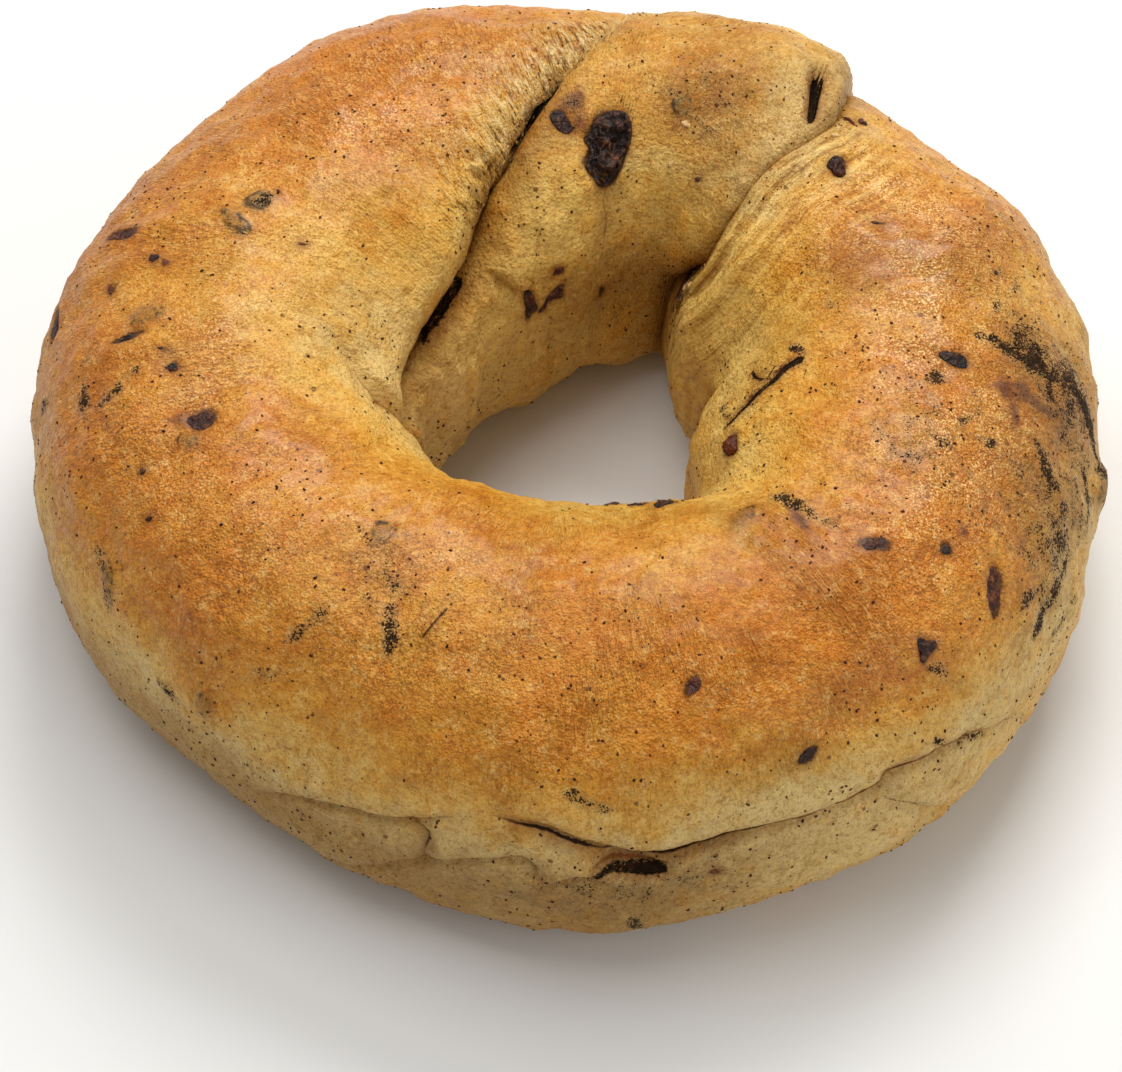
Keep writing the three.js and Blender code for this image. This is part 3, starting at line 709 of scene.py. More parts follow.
    def seam(self, around: Array, across: Array, points: Array) -> tuple[Array, Near, Array]:
        """The nearer seam for plain points at some angles.

        Returns:
            How far each point lies inside the limb, the nearer seam's facts, and a mask that is
            True where that seam is the left one.
        """
        left, right = self.seam_left.near(points), self.seam_right.near(points)
        is_left = np.abs(left.distance) < np.abs(right.distance)
        turn, lift = np.mod(np.degrees(around), 360), np.degrees(across)
        starts, stops = (np.interp(lift, *track.by_lift) for track in (self.seam_right, self.seam_left))
        sign = np.where((turn > starts) & (turn < stops), -1, 1)
        inside = sign * np.minimum(np.abs(left.distance), np.abs(right.distance))
        values = np.where(is_left[:, None], left.values, right.values)
        along = np.where(is_left, left.along, right.along)
        return inside, Near(inside, along, values), is_left

    def fold_relief(self, points: Array) -> tuple[Array, Array, Array]:
        """What the folds do.

        Returns:
            The change of height, and for each group of folds the signed distance to the nearest
            one and the strength of its painted shade.
        """
        relief = np.zeros(len(points))
        line, ink = np.full((len(points), 3), FAR), np.zeros((len(points), 3))
        for fold, track in self.folds:
            near = track.near(points)
            depth, above, below, lip = near.values.T
            away, upper = np.abs(near.distance), near.distance > 0
            relief -= depth * np.exp(-((away / np.where(upper, above, below)) ** 1.5))
            rise = lip * bell(away, self.lip_reach) * np.clip(away / self.lip_edge, 0, 1)
            relief += np.where(upper, rise, 0)
            drawn = near.distance + fold.sag * depth
            away = np.abs(drawn)
            strength = fold.ink * np.clip(depth / 1.5, 0, 1) * bell(away, 2.5)
            closer = away < np.abs(line[:, fold.group])
            line[closer, fold.group] = drawn[closer]
            ink[closer, fold.group] = strength[closer]
        return relief, line, ink

    @staticmethod
    def crossings(tracks: Sequence[Track], points: Array) -> Array:
        """The nearest of some lines: signed distance in mm, half width, and strength near it."""
        found = np.zeros((len(points), 3))
        found[:, 0] = FAR
        for track in tracks:
            near = track.near(points)
            away, width = np.abs(near.distance), near.values[:, 0]
            strength = np.clip(width / 0.08, 0, 1) * ease(2.4, 1.6, away)
            closer = (strength > 0) & (away < np.abs(found[:, 0]))
            found[closer] = np.stack([near.distance, width, strength], -1)[closer]
        return found

    @staticmethod
    def lines(tracks: Sequence[Track], points: Array) -> Array:
        """Signed distance in mm from the nearest of some lines with a width, below 0 in one."""
        away = np.full(len(points), FAR)
        for track in tracks:
            near = track.near(points)
            away = np.minimum(away, np.abs(near.distance) - near.values[:, 0])
        return away

    def nearest(self, patches: Sequence[Patch], points: Array) -> Array:
        """Signed distance in mm from the nearest of some patches, below 0 in one."""
        return np.minimum.reduce([patch.distance(self.ring, points) for patch in patches]).clip(max=FAR)

    def rolled(self, around: Array, across: Array) -> Array:
        """The slow unevenness of dough rolled by hand."""
        twist = np.sin(3 * around + 1.3 * across + 0.7) * np.sin(2 * across - around + 1.1)
        waves = [h * np.sin(m * around + n * across + q) for h, m, n, q in self.rolling]
        return 0.3 * twist + sum(waves)


# ---- Shader tools --------------------------------------------------------------------------------


def add_node(tree: bpy.types.NodeTree, kind: str, settings: dict[str, Any],
             sockets: dict[Any, Any]) -> bpy.types.Node:
    """Adds a node to a tree.

    Args:
        tree: a material's or a Geometry Nodes tree.
        kind: the node's type.
        settings: its properties; stops are a ramp's, as (place, colour) pairs.
        sockets: values, or signals and sockets to link, by input name or number.

    Returns:
        The new node.
    """
    made = tree.nodes.new(kind)
    for key, value in settings.items():
        if key == "stops":
            fill_ramp(made.color_ramp, value)
        else:
            setattr(made, key, value)
    for key, value in sockets.items():
        value = getattr(value, "socket", value)
        if isinstance(value, bpy.types.NodeSocket):
            tree.links.new(value, made.inputs[key])
        else:
            made.inputs[key].default_value = value
    return made


def fill_ramp(ramp: bpy.types.ColorRamp, stops: Sequence[tuple[float, Sequence[float]]]) -> None:
    """Puts stops in a colour ramp."""
    while len(ramp.elements) < len(stops):
        ramp.elements.new(1.0)
    for element, (place, colour) in zip(ramp.elements, stops):
        element.position = place
        element.color = (*colour, 1.0)


class Signal:
    """One value in a shader, with the arithmetic that its expressions use."""

    def __init__(self, board: "Board", socket: bpy.types.NodeSocket):
        """Wraps a node's output socket."""
        self.board = board
        self.socket = socket

    def _maths(self, operation: str, *terms: Any) -> "Signal":
        """Adds a Math node over the terms."""
        made = self.board.node("ShaderNodeMath", {"operation": operation}, dict(enumerate(terms)))
        return Signal(self.board, made.outputs[0])

    def __add__(self, other: Any) -> "Signal":
        """self + other."""
        return self._maths("ADD", self, other)

    def __radd__(self, other: Any) -> "Signal":
        """other + self."""
        return self._maths("ADD", other, self)

    def __sub__(self, other: Any) -> "Signal":
        """self - other."""
        return self._maths("SUBTRACT", self, other)

    def __rsub__(self, other: Any) -> "Signal":
        """other - self."""
        return self._maths("SUBTRACT", other, self)

    def __mul__(self, other: Any) -> "Signal":
        """self * other."""
        return self._maths("MULTIPLY", self, other)

    def __rmul__(self, other: Any) -> "Signal":
        """other * self."""
        return self._maths("MULTIPLY", other, self)

    def __truediv__(self, other: Any) -> "Signal":
        """self / other."""
        return self._maths("DIVIDE", self, other)

    def __pow__(self, other: Any) -> "Signal":
        """self to the power of other."""
        return self._maths("POWER", self, other)

    def clamped(self) -> "Signal":
        """The value held between 0 and 1."""
        return self._maths("MAXIMUM", self._maths("MINIMUM", self, 1.0), 0.0)

    def absolute(self) -> "Signal":
        """The value without its sign."""
        return self._maths("ABSOLUTE", self)

    def larger(self, other: Any) -> "Signal":
        """The larger of two values."""
        return self._maths("MAXIMUM", self, other)

    def step(self, low: float, high: float) -> "Signal":
        """A soft step from 0 at low to 1 at high, or down where low is the larger."""
        settings = {"interpolation_type": "SMOOTHSTEP"}
        values = {"Value": self, "From Min": low, "From Max": high}
        if low > high:
            values = {"Value": self, "From Min": high, "From Max": low, "To Min": 1.0, "To Max": 0.0}
        made = self.board.node("ShaderNodeMapRange", settings, values)
        return Signal(self.board, made.outputs[0])


class Board:
    """A material's node tree, whose nodes all come from add_node."""

    def __init__(self, name: str):
        """Starts an empty material."""
        self.material = bpy.data.materials.new(name)
        self.material.use_nodes = True
        self.material.node_tree.nodes.clear()
        self.node = partial(add_node, self.material.node_tree)

    def attribute(self, name: str, output: str = "Fac") -> Signal:
        """A value stored on the mesh."""
        made = self.node("ShaderNodeAttribute", {"attribute_name": name}, {})
        return Signal(self, made.outputs[output])

    def place(self) -> Signal:
        """The point in the object's own coordinates."""
        return Signal(self, self.node("ShaderNodeTexCoord", {}, {}).outputs["Object"])

    def noise(self, at: Signal, scale: float, detail: float = 2.0, roughness: float = 0.5) -> Signal:
        """Noise between 0 and 1."""
        values = {"Vector": at, "Scale": scale, "Detail": detail, "Roughness": roughness}
        return Signal(self, self.node("ShaderNodeTexNoise", {}, values).outputs[0])

    def cells(self, at: Signal, scale: float, output: str = "Distance", **settings: Any) -> Signal:
        """A Voronoi texture's output."""
        made = self.node("ShaderNodeTexVoronoi", settings, {"Vector": at, "Scale": scale})
        return Signal(self, made.outputs[output])

    def part(self, vector: Signal, axis: str) -> Signal:
        """One of a vector's three numbers."""
        made = self.node("ShaderNodeSeparateXYZ", {}, {"Vector": vector})
        return Signal(self, made.outputs[axis])

    def stretched(self, at: Signal, scale: Sequence[float]) -> Signal:
        """Coordinates scaled along each axis."""
        sockets = {"Vector": at, "Scale": tuple(scale)}
        return Signal(self, self.node("ShaderNodeMapping", {}, sockets).outputs[0])

    def ramp(self, value: Signal, stops: Sequence[tuple[float, Sequence[float]]]) -> Signal:
        """Colours along a value."""
        made = self.node("ShaderNodeValToRGB", {"stops": stops}, {"Fac": value})
        return Signal(self, made.outputs[0])

    def mix(self, share: Any, base: Any, over: Any, blend: str = "MIX") -> Signal:
        """Colours mixed by a share."""
        base, over = ((*c, 1.0) if isinstance(c, tuple) else c for c in (base, over))
        settings = {"data_type": "RGBA", "blend_type": blend, "clamp_factor": True}
        made = self.node("ShaderNodeMix", settings, {0: share, 6: base, 7: over})
        return Signal(self, made.outputs[2])

    def surface(self, constants: dict[str, Any], signals: dict[str, Signal], relief: Signal | None,
                relief_depth: float = 0.0001) -> bpy.types.Material:
        """Ends the tree in one shader.

        Args:
            constants: the shader's values that are the same all over.
            signals: the shader's values that change over the surface.
            relief: heights for a Bump node, or None.
            relief_depth: metres that one unit of relief stands for.

        Returns:
            The finished material.
        """
        sockets: dict[str, Any] = {**constants, **signals}
        if relief is not None:
            bump = {"Height": relief, "Distance": relief_depth, "Strength": 1.0}
            sockets["Normal"] = self.node("ShaderNodeBump", {}, bump).outputs[0]
        shader = self.node("ShaderNodeBsdfPrincipled", {}, sockets)
        self.node("ShaderNodeOutputMaterial", {}, {"Surface": shader.outputs[0]})
        return self.material


class Paint:
    """Colours laid over one another on a board."""

    def __init__(self, board: Board, colour: Signal):
        """Starts with one colour."""
        self.board = board
        self.colour = colour

    def lay(self, share: Signal, over: Any) -> None:
        """Lays a colour over what is there."""
        self.colour = self.board.mix(share, self.colour, over)

    def shade(self, share: Signal, by: Any) -> None:
        """Multiplies what is there by a colour."""
        self.colour = self.board.mix(share, self.colour, by, "MULTIPLY")


# ---- Finishes ------------------------------------------------------------------------------------

Colour = tuple[float, float, float]


def tone(red: int, green: int, blue: int) -> Colour:
    """A colour given as display values from 0 to 255, in linear light."""

    def linear(v: int) -> float:
        """One of the three values in linear light."""
        s = v / 255
        return s / 12.92 if s <= 0.04045 else ((s + 0.055) / 1.055) ** 2.4

    return (linear(red), linear(green), linear(blue))


@dataclass(frozen=True)
class CrustFinish:
    """Baked crust: pale where it rose from the fold, golden to orange where the oven browned it."""

    pale: Colour = tone(216, 187, 124)
    straw: Colour = tone(218, 171, 86)
    golden: Colour = tone(210, 147, 52)
    orange: Colour = tone(202, 123, 36)
    brown: Colour = tone(122, 64, 24)
    murk: Colour = tone(112, 92, 56)
    rust: Colour = tone(150, 84, 38)
    plum: Colour = tone(92, 50, 34)
    hollow_shade_colour: Colour = tone(172, 140, 84)
    olive: Colour = (1.0, 0.93, 0.66)
    umber: Colour = tone(58, 32, 18)
    # Painted shade: the colour of fold bottoms and of the insides of openings.
    ink: Colour = tone(26, 14, 9)
    ash: Colour = tone(28, 13, 6)
    slate: Colour = tone(56, 38, 26)
    cinnamon: Colour = tone(84, 42, 20)
    veil: Colour = tone(140, 116, 78)
    flake: Colour = tone(238, 204, 128)
    painted_glint: Colour = tone(250, 210, 146)
    shadow: Colour = (0.66, 0.52, 0.36)
    dusk: Colour = (0.82, 0.74, 0.58)
    dark_skin_and_shade_tint: Colour = (0.6, 0.5, 0.38)
    smudge_and_shade: Colour = (0.5, 0.46, 0.45)
    sheen: Colour = (1.0, 0.79, 0.46)
    roughness: float = 0.42
    ior: float = 1.3
    coat: float = 0.28
    coat_roughness: float = 0.28
    coat_ior: float = 1.42
    relief_depth: float = 0.00016

    def material(self) -> bpy.types.Material:
        """Builds the crust's material."""
        board = Board("baked_crust")
        at, flow = board.place(), board.attribute("flow", "Vector")
        browned, torn, pulled = (board.attribute(name) for name in ("browned", "torn", "pulled"))
        wander = board.noise(at, 420, 2, 0.6)
        fine = board.noise(at, 2300, 1, 0.5)
        micro = board.noise(at, 4800, 0, 0.5)
        pleats = board.noise(board.stretched(flow, (1.6, 0.42, 1.0)), 1.0, 3, 0.62)
        patches = board.noise(at, 120, 0, 0.5).step(0.4, 0.6)
        paint = Paint(board, self.baked(board, at, browned + (wander - 0.5) * 0.5))
        self.mottled(paint, at, fine)
        self.creased(paint, at, browned, pleats, patches)
        strands = self.torn_skin(paint, torn)
        streaks = self.pulled_skin(paint, pulled)
        paint.lay(board.attribute("rim") * (pleats + 0.2), self.flake)
        paint.shade(board.attribute("inner"), self.olive)
        # Painted shade in the seams' grooves, in the end piece's valley and low at the front.
        paint.shade(board.attribute("hollow") * 0.8, self.hollow_shade_colour)
        self.marked(paint, at, wander)
        dusted = self.spiced(paint, at, fine)
        self.folded(paint, at, wander)
        opening, pit = self.opened(paint, at)
        dull = (opening + dusted).clamped()
        relief = (0.5 - pleats).absolute() * (1.5 + browned * 2.5) * (patches + 0.4) + wander * 1.6
        relief = relief + fine * 1.5 + micro * (0.3 + browned * 0.7)
        relief = relief + torn * strands * 6.0 + pulled * streaks * 5.0 - pit * 9.0
        rim = board.part(board.attribute("marks", "Vector"), "X").step(0.5, 0.0)
        gloss = self.roughness + (fine - 0.5) * 0.4 + (1 - browned) * 0.12 + torn * 0.2 + (dull + rim) * 0.4
        coat = (browned * 1.3 - 0.15).clamped() * board.attribute("shine") * (1 - dull) * self.coat
        constants = {
            "IOR": self.ior,
            "Specular Tint": (*self.sheen, 1.0),
            "Coat Roughness": self.coat_roughness,
            "Coat IOR": self.coat_ior,
        }
        varying = {"Base Color": paint.colour, "Roughness": gloss.clamped(), "Coat Weight": coat}
        return board.surface(constants, varying, relief, self.relief_depth)

    def baked(self, board: Board, at: Signal, browned: Signal) -> Signal:
        """The colours that baking gave, in broad patches."""
        broad, patchy = board.noise(at, 60, 1, 0.55) - 0.5, board.noise(at, 230, 2, 0.62) - 0.5
        bake = browned + broad * 0.5 + patchy * 0.75
        stops = [(0.0, self.pale), (0.3, self.straw), (0.6, self.golden), (1.0, self.orange)]
        return board.ramp(bake.clamped(), stops)

    def mottled(self, paint: Paint, at: Signal, fine: Signal) -> None:
        """Mottling from blotches to pores; darker skin and painted shade; painted glints on grains."""
        board = paint.board
        pores = board.noise(at, 1500, 3, 0.7)
        glint_and_pit_noise = board.noise(at, 4500, 1, 0.6)
        patches = board.noise(at, 260, 1, 0.6).step(0.38, 0.64)
        mottle = board.noise(at, 95, 4, 0.72)
        blotch = board.noise(at, 640, 3, 0.7)
        sparkle = board.attribute("sparkle")
        paint.shade(mottle.step(0.5, 0.34) * 0.8, self.dusk)
        paint.shade(blotch.step(0.5, 0.34) * 0.75, self.dusk)
        paint.lay(blotch.step(0.54, 0.72) * 0.35, self.flake)
        # Darker skin by place, partly painted shade low on the front and in the end piece's hollows.
        paint.shade(board.attribute("dusky") * (mottle + 0.5), self.dark_skin_and_shade_tint)
        paint.shade(pores.step(0.5, 0.32) * 0.7, self.shadow)
        paint.lay(pores.step(0.52, 0.72) * (patches * 0.4 + 0.1), self.flake)
        # Painted shade in fine pits and painted glints on the grains, from one fine noise.
        paint.shade(glint_and_pit_noise.step(0.47, 0.32) * (0.5 + sparkle * 0.5), self.shadow)
        paint.lay(glint_and_pit_noise.step(0.51, 0.66) * ((patches * 0.6 + 0.2) * sparkle + 0.05), self.painted_glint)
        paint.lay(fine.step(0.4, 0.24) * 0.35, self.brown)
        paint.lay(fine.step(0.64, 0.8) * 0.3, self.flake)

    def creased(self, paint: Paint, at: Signal, browned: Signal, pleats: Signal, patches: Signal) -> None:
        """Hair creases of the dried skin: dark meandering lines with pale crests, in patches."""
        share = patches * (0.3 + browned * 0.7)
        crack = (paint.board.noise(at, 900, 2, 0.65) - 0.5).absolute().step(0.03, 0.006)
        paint.lay((pleats - 0.5).absolute().step(0.035, 0.005) * share * 0.5, self.brown)
        paint.lay(crack * (1 - share) * browned * 0.35, self.brown)
        paint.lay(pleats.step(0.56, 0.7) * share * 0.2, self.flake)

    def torn_skin(self, paint: Paint, torn: Signal) -> Signal:
        """Skin pulled apart beside the left seam: pale strands with painted glints, and dark gaps."""
        place = paint.board.stretched(paint.board.attribute("seam_flow", "Vector"), (1.7, 0.5, 1.0))
        strands = paint.board.noise(place, 1.0, 3, 0.82)
        paint.lay(torn * strands.step(0.47, 0.56), self.pale)
        paint.lay(torn * strands.step(0.56, 0.64), self.painted_glint)
        paint.lay(torn * strands.step(0.45, 0.38) * 0.95, self.umber)
        return strands

    def pulled_skin(self, paint: Paint, pulled: Signal) -> Signal:
        """Skin stretched along the right seam: long pale and brown streaks."""
        place = paint.board.stretched(paint.board.attribute("seam_flow", "Vector"), (0.13, 1.0, 1.0))
        streaks = paint.board.noise(place, 1.0, 3, 0.65)
        paint.lay(pulled * streaks.step(0.52, 0.66) * 0.7, self.flake)
        paint.shade(pulled * streaks.step(0.5, 0.4) * 0.6, self.shadow)
        paint.lay(pulled * streaks.step(0.42, 0.3) * 0.6, self.brown)
        return streaks

    def marked(self, paint: Paint, at: Signal, wander: Signal) -> None:
        """Stains, thin dough over sunk fruit, and the browned rims of fruit, edged partly with painted
        shadow.
        """
        board = paint.board
        swirl = board.noise(at, 330, 3, 0.65)
        crumbs = board.noise(at, 1500, 3, 0.7)
        marks = board.attribute("marks", "Vector")
        rim, cover, stain = (board.part(marks, axis) for axis in "XYZ")
        stain = stain + (swirl - 0.5) * 2.0
        paint.lay(stain.step(0.9, -0.7) * 0.6, self.rust)
        paint.lay((stain + (crumbs - 0.5) * 2.0).step(0.3, -1.0) * 0.8, self.plum)
        cover = cover + (swirl - 0.5) * 1.2
        paint.lay(cover.step(1.6, 0.0) * 0.22, self.brown)
        paint.lay(cover.step(0.3, -0.5) * crumbs.step(0.3, 0.6) * 0.6, self.murk)
        paint.lay(cover.absolute().step(0.5, 0.08) * swirl.step(0.47, 0.56) * 0.85, self.ash)
        paint.lay(cover.step(0.1, -0.3) * crumbs.step(0.54, 0.62) * 0.6, self.ash)
        rim = rim + (wander - 0.5) * 0.8
        paint.lay((rim + (swirl - 0.5) * 1.2).step(1.1, 0.0) * 0.4, self.brown)
        # A thin dark line round the fruit: partly brown juice, partly painted contact shadow.
        paint.lay((rim + (crumbs - 0.5) * 0.5).step(0.22, -0.25) * 0.85, self.umber)

    def spiced(self, paint: Paint, at: Signal, fine: Signal) -> Signal:
        """Cinnamon: grit that crowds along lines and in smears, partly painted shade, and grains all over.

        Returns:
            How far the grit covers the crust.
        """
        board = paint.board
        spice, smear = board.attribute("spice"), board.attribute("smear")
        clumps = board.noise(at, 480, 2, 0.65)
        crumbs = board.noise(at, 4600, 2, 0.6)
        stray = board.noise(at, 330, 3, 0.65)
        crowd = (board.attribute("grit") + (stray - 0.5) * 2.4).step(1.8, -0.5).larger(smear * 0.46)
        smudge_and_shade = (smear * 0.55 + (clumps - 0.5) * 1.6 - 0.12).clamped()
        # Darkens the smears of cinnamon, and low at the front it is painted shade.
        paint.shade(smudge_and_shade * 0.55, self.smudge_and_shade)
        mass = (crumbs - 0.5) * 6.0 + (clumps - 0.5) * 4.6 + crowd * 3.1 - 2.3
        dust = board.mix(board.noise(at, 2400, 0, 0.5).step(0.42, 0.68), self.ash, self.slate)
        paint.lay((crowd + (clumps - 0.5)).step(0.1, 0.9) * 0.4, self.veil)
        cover = mass.step(-0.15, 0.25) * crowd.step(0.03, 0.2) * 0.98
        paint.lay(cover, dust)
        for scale, radius, floor, strength, shade in (
            (700, 0.08, 0.6, 0.8, self.ink),
            (360, 0.07, 0.66, 0.7, self.cinnamon),
        ):
            near, luck = (board.cells(at, scale, output, feature="F1") for output in ("Distance", "Color"))
            luck = luck + spice * 0.16
            edge = luck.step(floor, floor + 0.3) * radius * 1.3 + (fine - 0.5) * 0.12
            grains = (near - edge).step(0.03, -0.01) * luck.step(floor, floor + 0.02)
            paint.lay(grains * strength, shade)
        return cover

    def opened(self, paint: Paint, at: Signal) -> tuple[Signal, Signal]:
        """Cracks and openings: black inside them as painted shade, and browned beside them.

        Returns:
            How far the crust is open, and how deep the relief goes down there.
        """
        board = paint.board
        values = board.attribute("crevice", "Vector")
        line, width, strength = (board.part(values, axis) for axis in "XYZ")
        ragged = board.noise(at, 1500, 3, 0.7)
        crumbs = board.noise(at, 4600, 2, 0.6)
        away = line.absolute() - width + (ragged - 0.5) * 0.8 + (crumbs - 0.5) * 1.0
        paint.lay((away + (ragged - 0.5) * 1.5).step(1.2, 0.0) * strength * 0.45, self.brown)
        opening = away.step(0.06, -0.06) * strength
        # Painted shade: black inside the openings.
        paint.lay(opening, board.mix(ragged.step(0.45, 0.65) * 0.6, self.ink, self.umber))
        return opening, (line.absolute() - width).step(0.08, -0.12) * strength

    def folded(self, paint: Paint, at: Signal, wander: Signal) -> None:
        """Painted shade in the folds, dark at the bottom, and brown beside: partly browning, partly shade."""
        board = paint.board
        patchy = board.noise(at, 300, 2, 0.6)
        for axis in "XYZ":
            line, ink = (board.part(board.attribute(name, "Vector"), axis) for name in ("line", "ink"))
            away = line.absolute()
            broken = (ink + (patchy - 0.5) * 1.4).clamped() * ink.step(0.05, 0.3)
            thin = (away + (wander - 0.5) * 0.4).step(0.15, 0.0)
            beside = (away + (patchy - 0.5) * 1.5).step(2.2, 0.2)
            paint.lay(beside * ink.clamped() * 0.45, self.brown)
            paint.lay(thin * (broken * 1.6).clamped(), self.brown)
            paint.lay(thin * ink.step(0.35, 0.9) * broken, self.ink)


@dataclass(frozen=True)
class RaisinFinish:
    """Dried skin: nearly black, red-brown where light gets into it, paler on its wrinkles' ridges."""

    skin: Colour = tone(26, 15, 10)
    ridge: Colour = tone(98, 66, 44)
    warm_skin: Colour = tone(78, 32, 18)
    warm_ridge: Colour = tone(144, 76, 38)
    roughness: float = 0.5
    ior: float = 1.36
    relief_depth: float = 0.00018

    def material(self) -> bpy.types.Material:
        """Builds the raisins' material."""
        board = Board("raisin_skin")
        at = board.place()
        patchy = board.noise(at, 900, 3, 0.65)
        grain = board.noise(at, 3200, 2, 0.6)
        # Darker in the wrinkles' folds and paler on their ridges: partly painted shade, partly mottling.
        high = board.attribute("wrinkle") * 0.6 + (patchy - 0.5) * 1.6 + (grain - 0.5)
        paint = Paint(board, board.mix(high.step(0.25, 1.0), self.skin, self.ridge))
        warm = board.mix(high.step(0.2, 0.9), self.warm_skin, self.warm_ridge)
        paint.lay((board.attribute("warmth") + (patchy - 0.5) * 0.9).clamped(), warm)
        paint.lay(grain.step(0.6, 0.72) * 0.25, self.warm_ridge)
        gloss = (self.roughness + (patchy - 0.5) * 0.5).clamped()
        varying = {"Base Color": paint.colour, "Roughness": gloss}
        return board.surface({"IOR": self.ior}, varying, grain + patchy * 2.0, self.relief_depth)


@dataclass(frozen=True)
class FlakeFinish:
    """Dried dough of the flakes that stand up."""

    pale: Colour = tone(210, 176, 114)
    shade: Colour = tone(160, 112, 60)
    roughness: float = 0.6
    relief_depth: float = 0.0001

    def material(self) -> bpy.types.Material:
        """Builds the flakes' material."""
        board = Board("dried_dough")
        patchy = board.noise(board.place(), 1400, 3, 0.6)
        colour = board.mix(patchy.step(0.4, 0.62), self.shade, self.pale)
        return board.surface({"Roughness": self.roughness}, {"Base Color": colour}, patchy, self.relief_depth)


@dataclass(frozen=True)
class SpiceFinish:
    """Ground cinnamon baked into the skin."""

    dark: Colour = tone(46, 25, 14)
    light: Colour = tone(98, 54, 28)
    roughness: float = 0.75
    ior: float = 1.25
    relief_depth: float = 0.00005

    def material(self) -> bpy.types.Material:
        """Builds the cinnamon's material."""
        board = Board("ground_cinnamon")
        at = board.place()
        colour = board.mix(board.noise(at, 1500, 2, 0.5).step(0.4, 0.65), self.dark, self.light)
        relief = board.noise(at, 5000, 2, 0.6)
        constants = {"Roughness": self.roughness, "IOR": self.ior}
        return board.surface(constants, {"Base Color": colour}, relief, self.relief_depth)


@dataclass(frozen=True)
class TableFinish:
    """A plain pale table top."""

    base: Colour = (0.8, 0.8, 0.79)
    grey: Colour = (0.74, 0.74, 0.73)
    roughness: float = 0.7

    def material(self) -> bpy.types.Material:
        """Builds the table's material."""
        board = Board("pale_table")
        colour = board.mix(board.noise(board.place(), 4, 2, 0.5) * 0.1, self.base, self.grey)
        return board.surface({"Roughness": self.roughness}, {"Base Color": colour}, None)


# ---- Meshes --------------------------------------------------------------------------------------


def mesh_object(name: str, points: Array, faces: Sequence[Sequence[int]]) -> bpy.types.Object:
    """A smooth mesh object at the origin.

    Args:
        name: the object's name.
        points: positions in metres, shape (n, 3).
        faces: corner numbers of each face.

    Returns:
        The object, linked to the scene.
    """
    mesh = bpy.data.meshes.new(name)
    mesh.from_pydata(points.tolist(), [], faces)
    mesh.shade_smooth()
    mesh.update()
    made = bpy.data.objects.new(name, mesh)
    bpy.context.scene.collection.objects.link(made)
    return made


def store(target: bpy.types.Object, name: str, values: Array) -> None:
    """Stores a number or a vector for each of a mesh's points."""
    kind = "FLOAT" if values.ndim == 1 else "FLOAT_VECTOR"
    layer = target.data.attributes.new(name, kind, "POINT")
    key = "value" if values.ndim == 1 else "vector"
    layer.data.foreach_set(key, values.astype(np.float32).ravel())


Faces = list[tuple[int, ...]]


def tube_faces(columns: int, rows: int) -> Faces:
    """Faces of a tube of columns of points, closed by a fan round each of two points after them."""
    corners = [(j, (j + 1) % rows) for j in range(rows)]
    faces = [
        (i * rows + a, (i + 1) * rows + a, (i + 1) * rows + b, i * rows + b)
        for i in range(columns - 1)
        for a, b in corners
    ]
    first, end = columns * rows, (columns - 1) * rows
    faces += [(first, a, b) for a, b in corners]
    return faces + [(first + 1, end + b, end + a) for a, b in corners]


def lens_faces(rings: int, sides: int) -> Faces:
    """Faces of a lens: a middle point, rings of points round it, and one point underneath."""
    corners = [(j, (j + 1) % sides) for j in range(sides)]
    faces: Faces = [(0, 1 + a, 1 + b) for a, b in corners]
    for start in range(1, (rings - 1) * sides, sides):
        after = start + sides
        faces += [(start + a, after + a, after + b, start + b) for a, b in corners]
    start = 1 + (rings - 1) * sides
    return faces + [(start + a, start + sides, start + b) for a, b in corners]


@dataclass(frozen=True)
class Lobe:
    """One lobe's grid: which it is, the angles it spans, and its numbers of steps."""

    side: Side
    name: str
    start: float
    stop: float
    columns: int
    rows: int


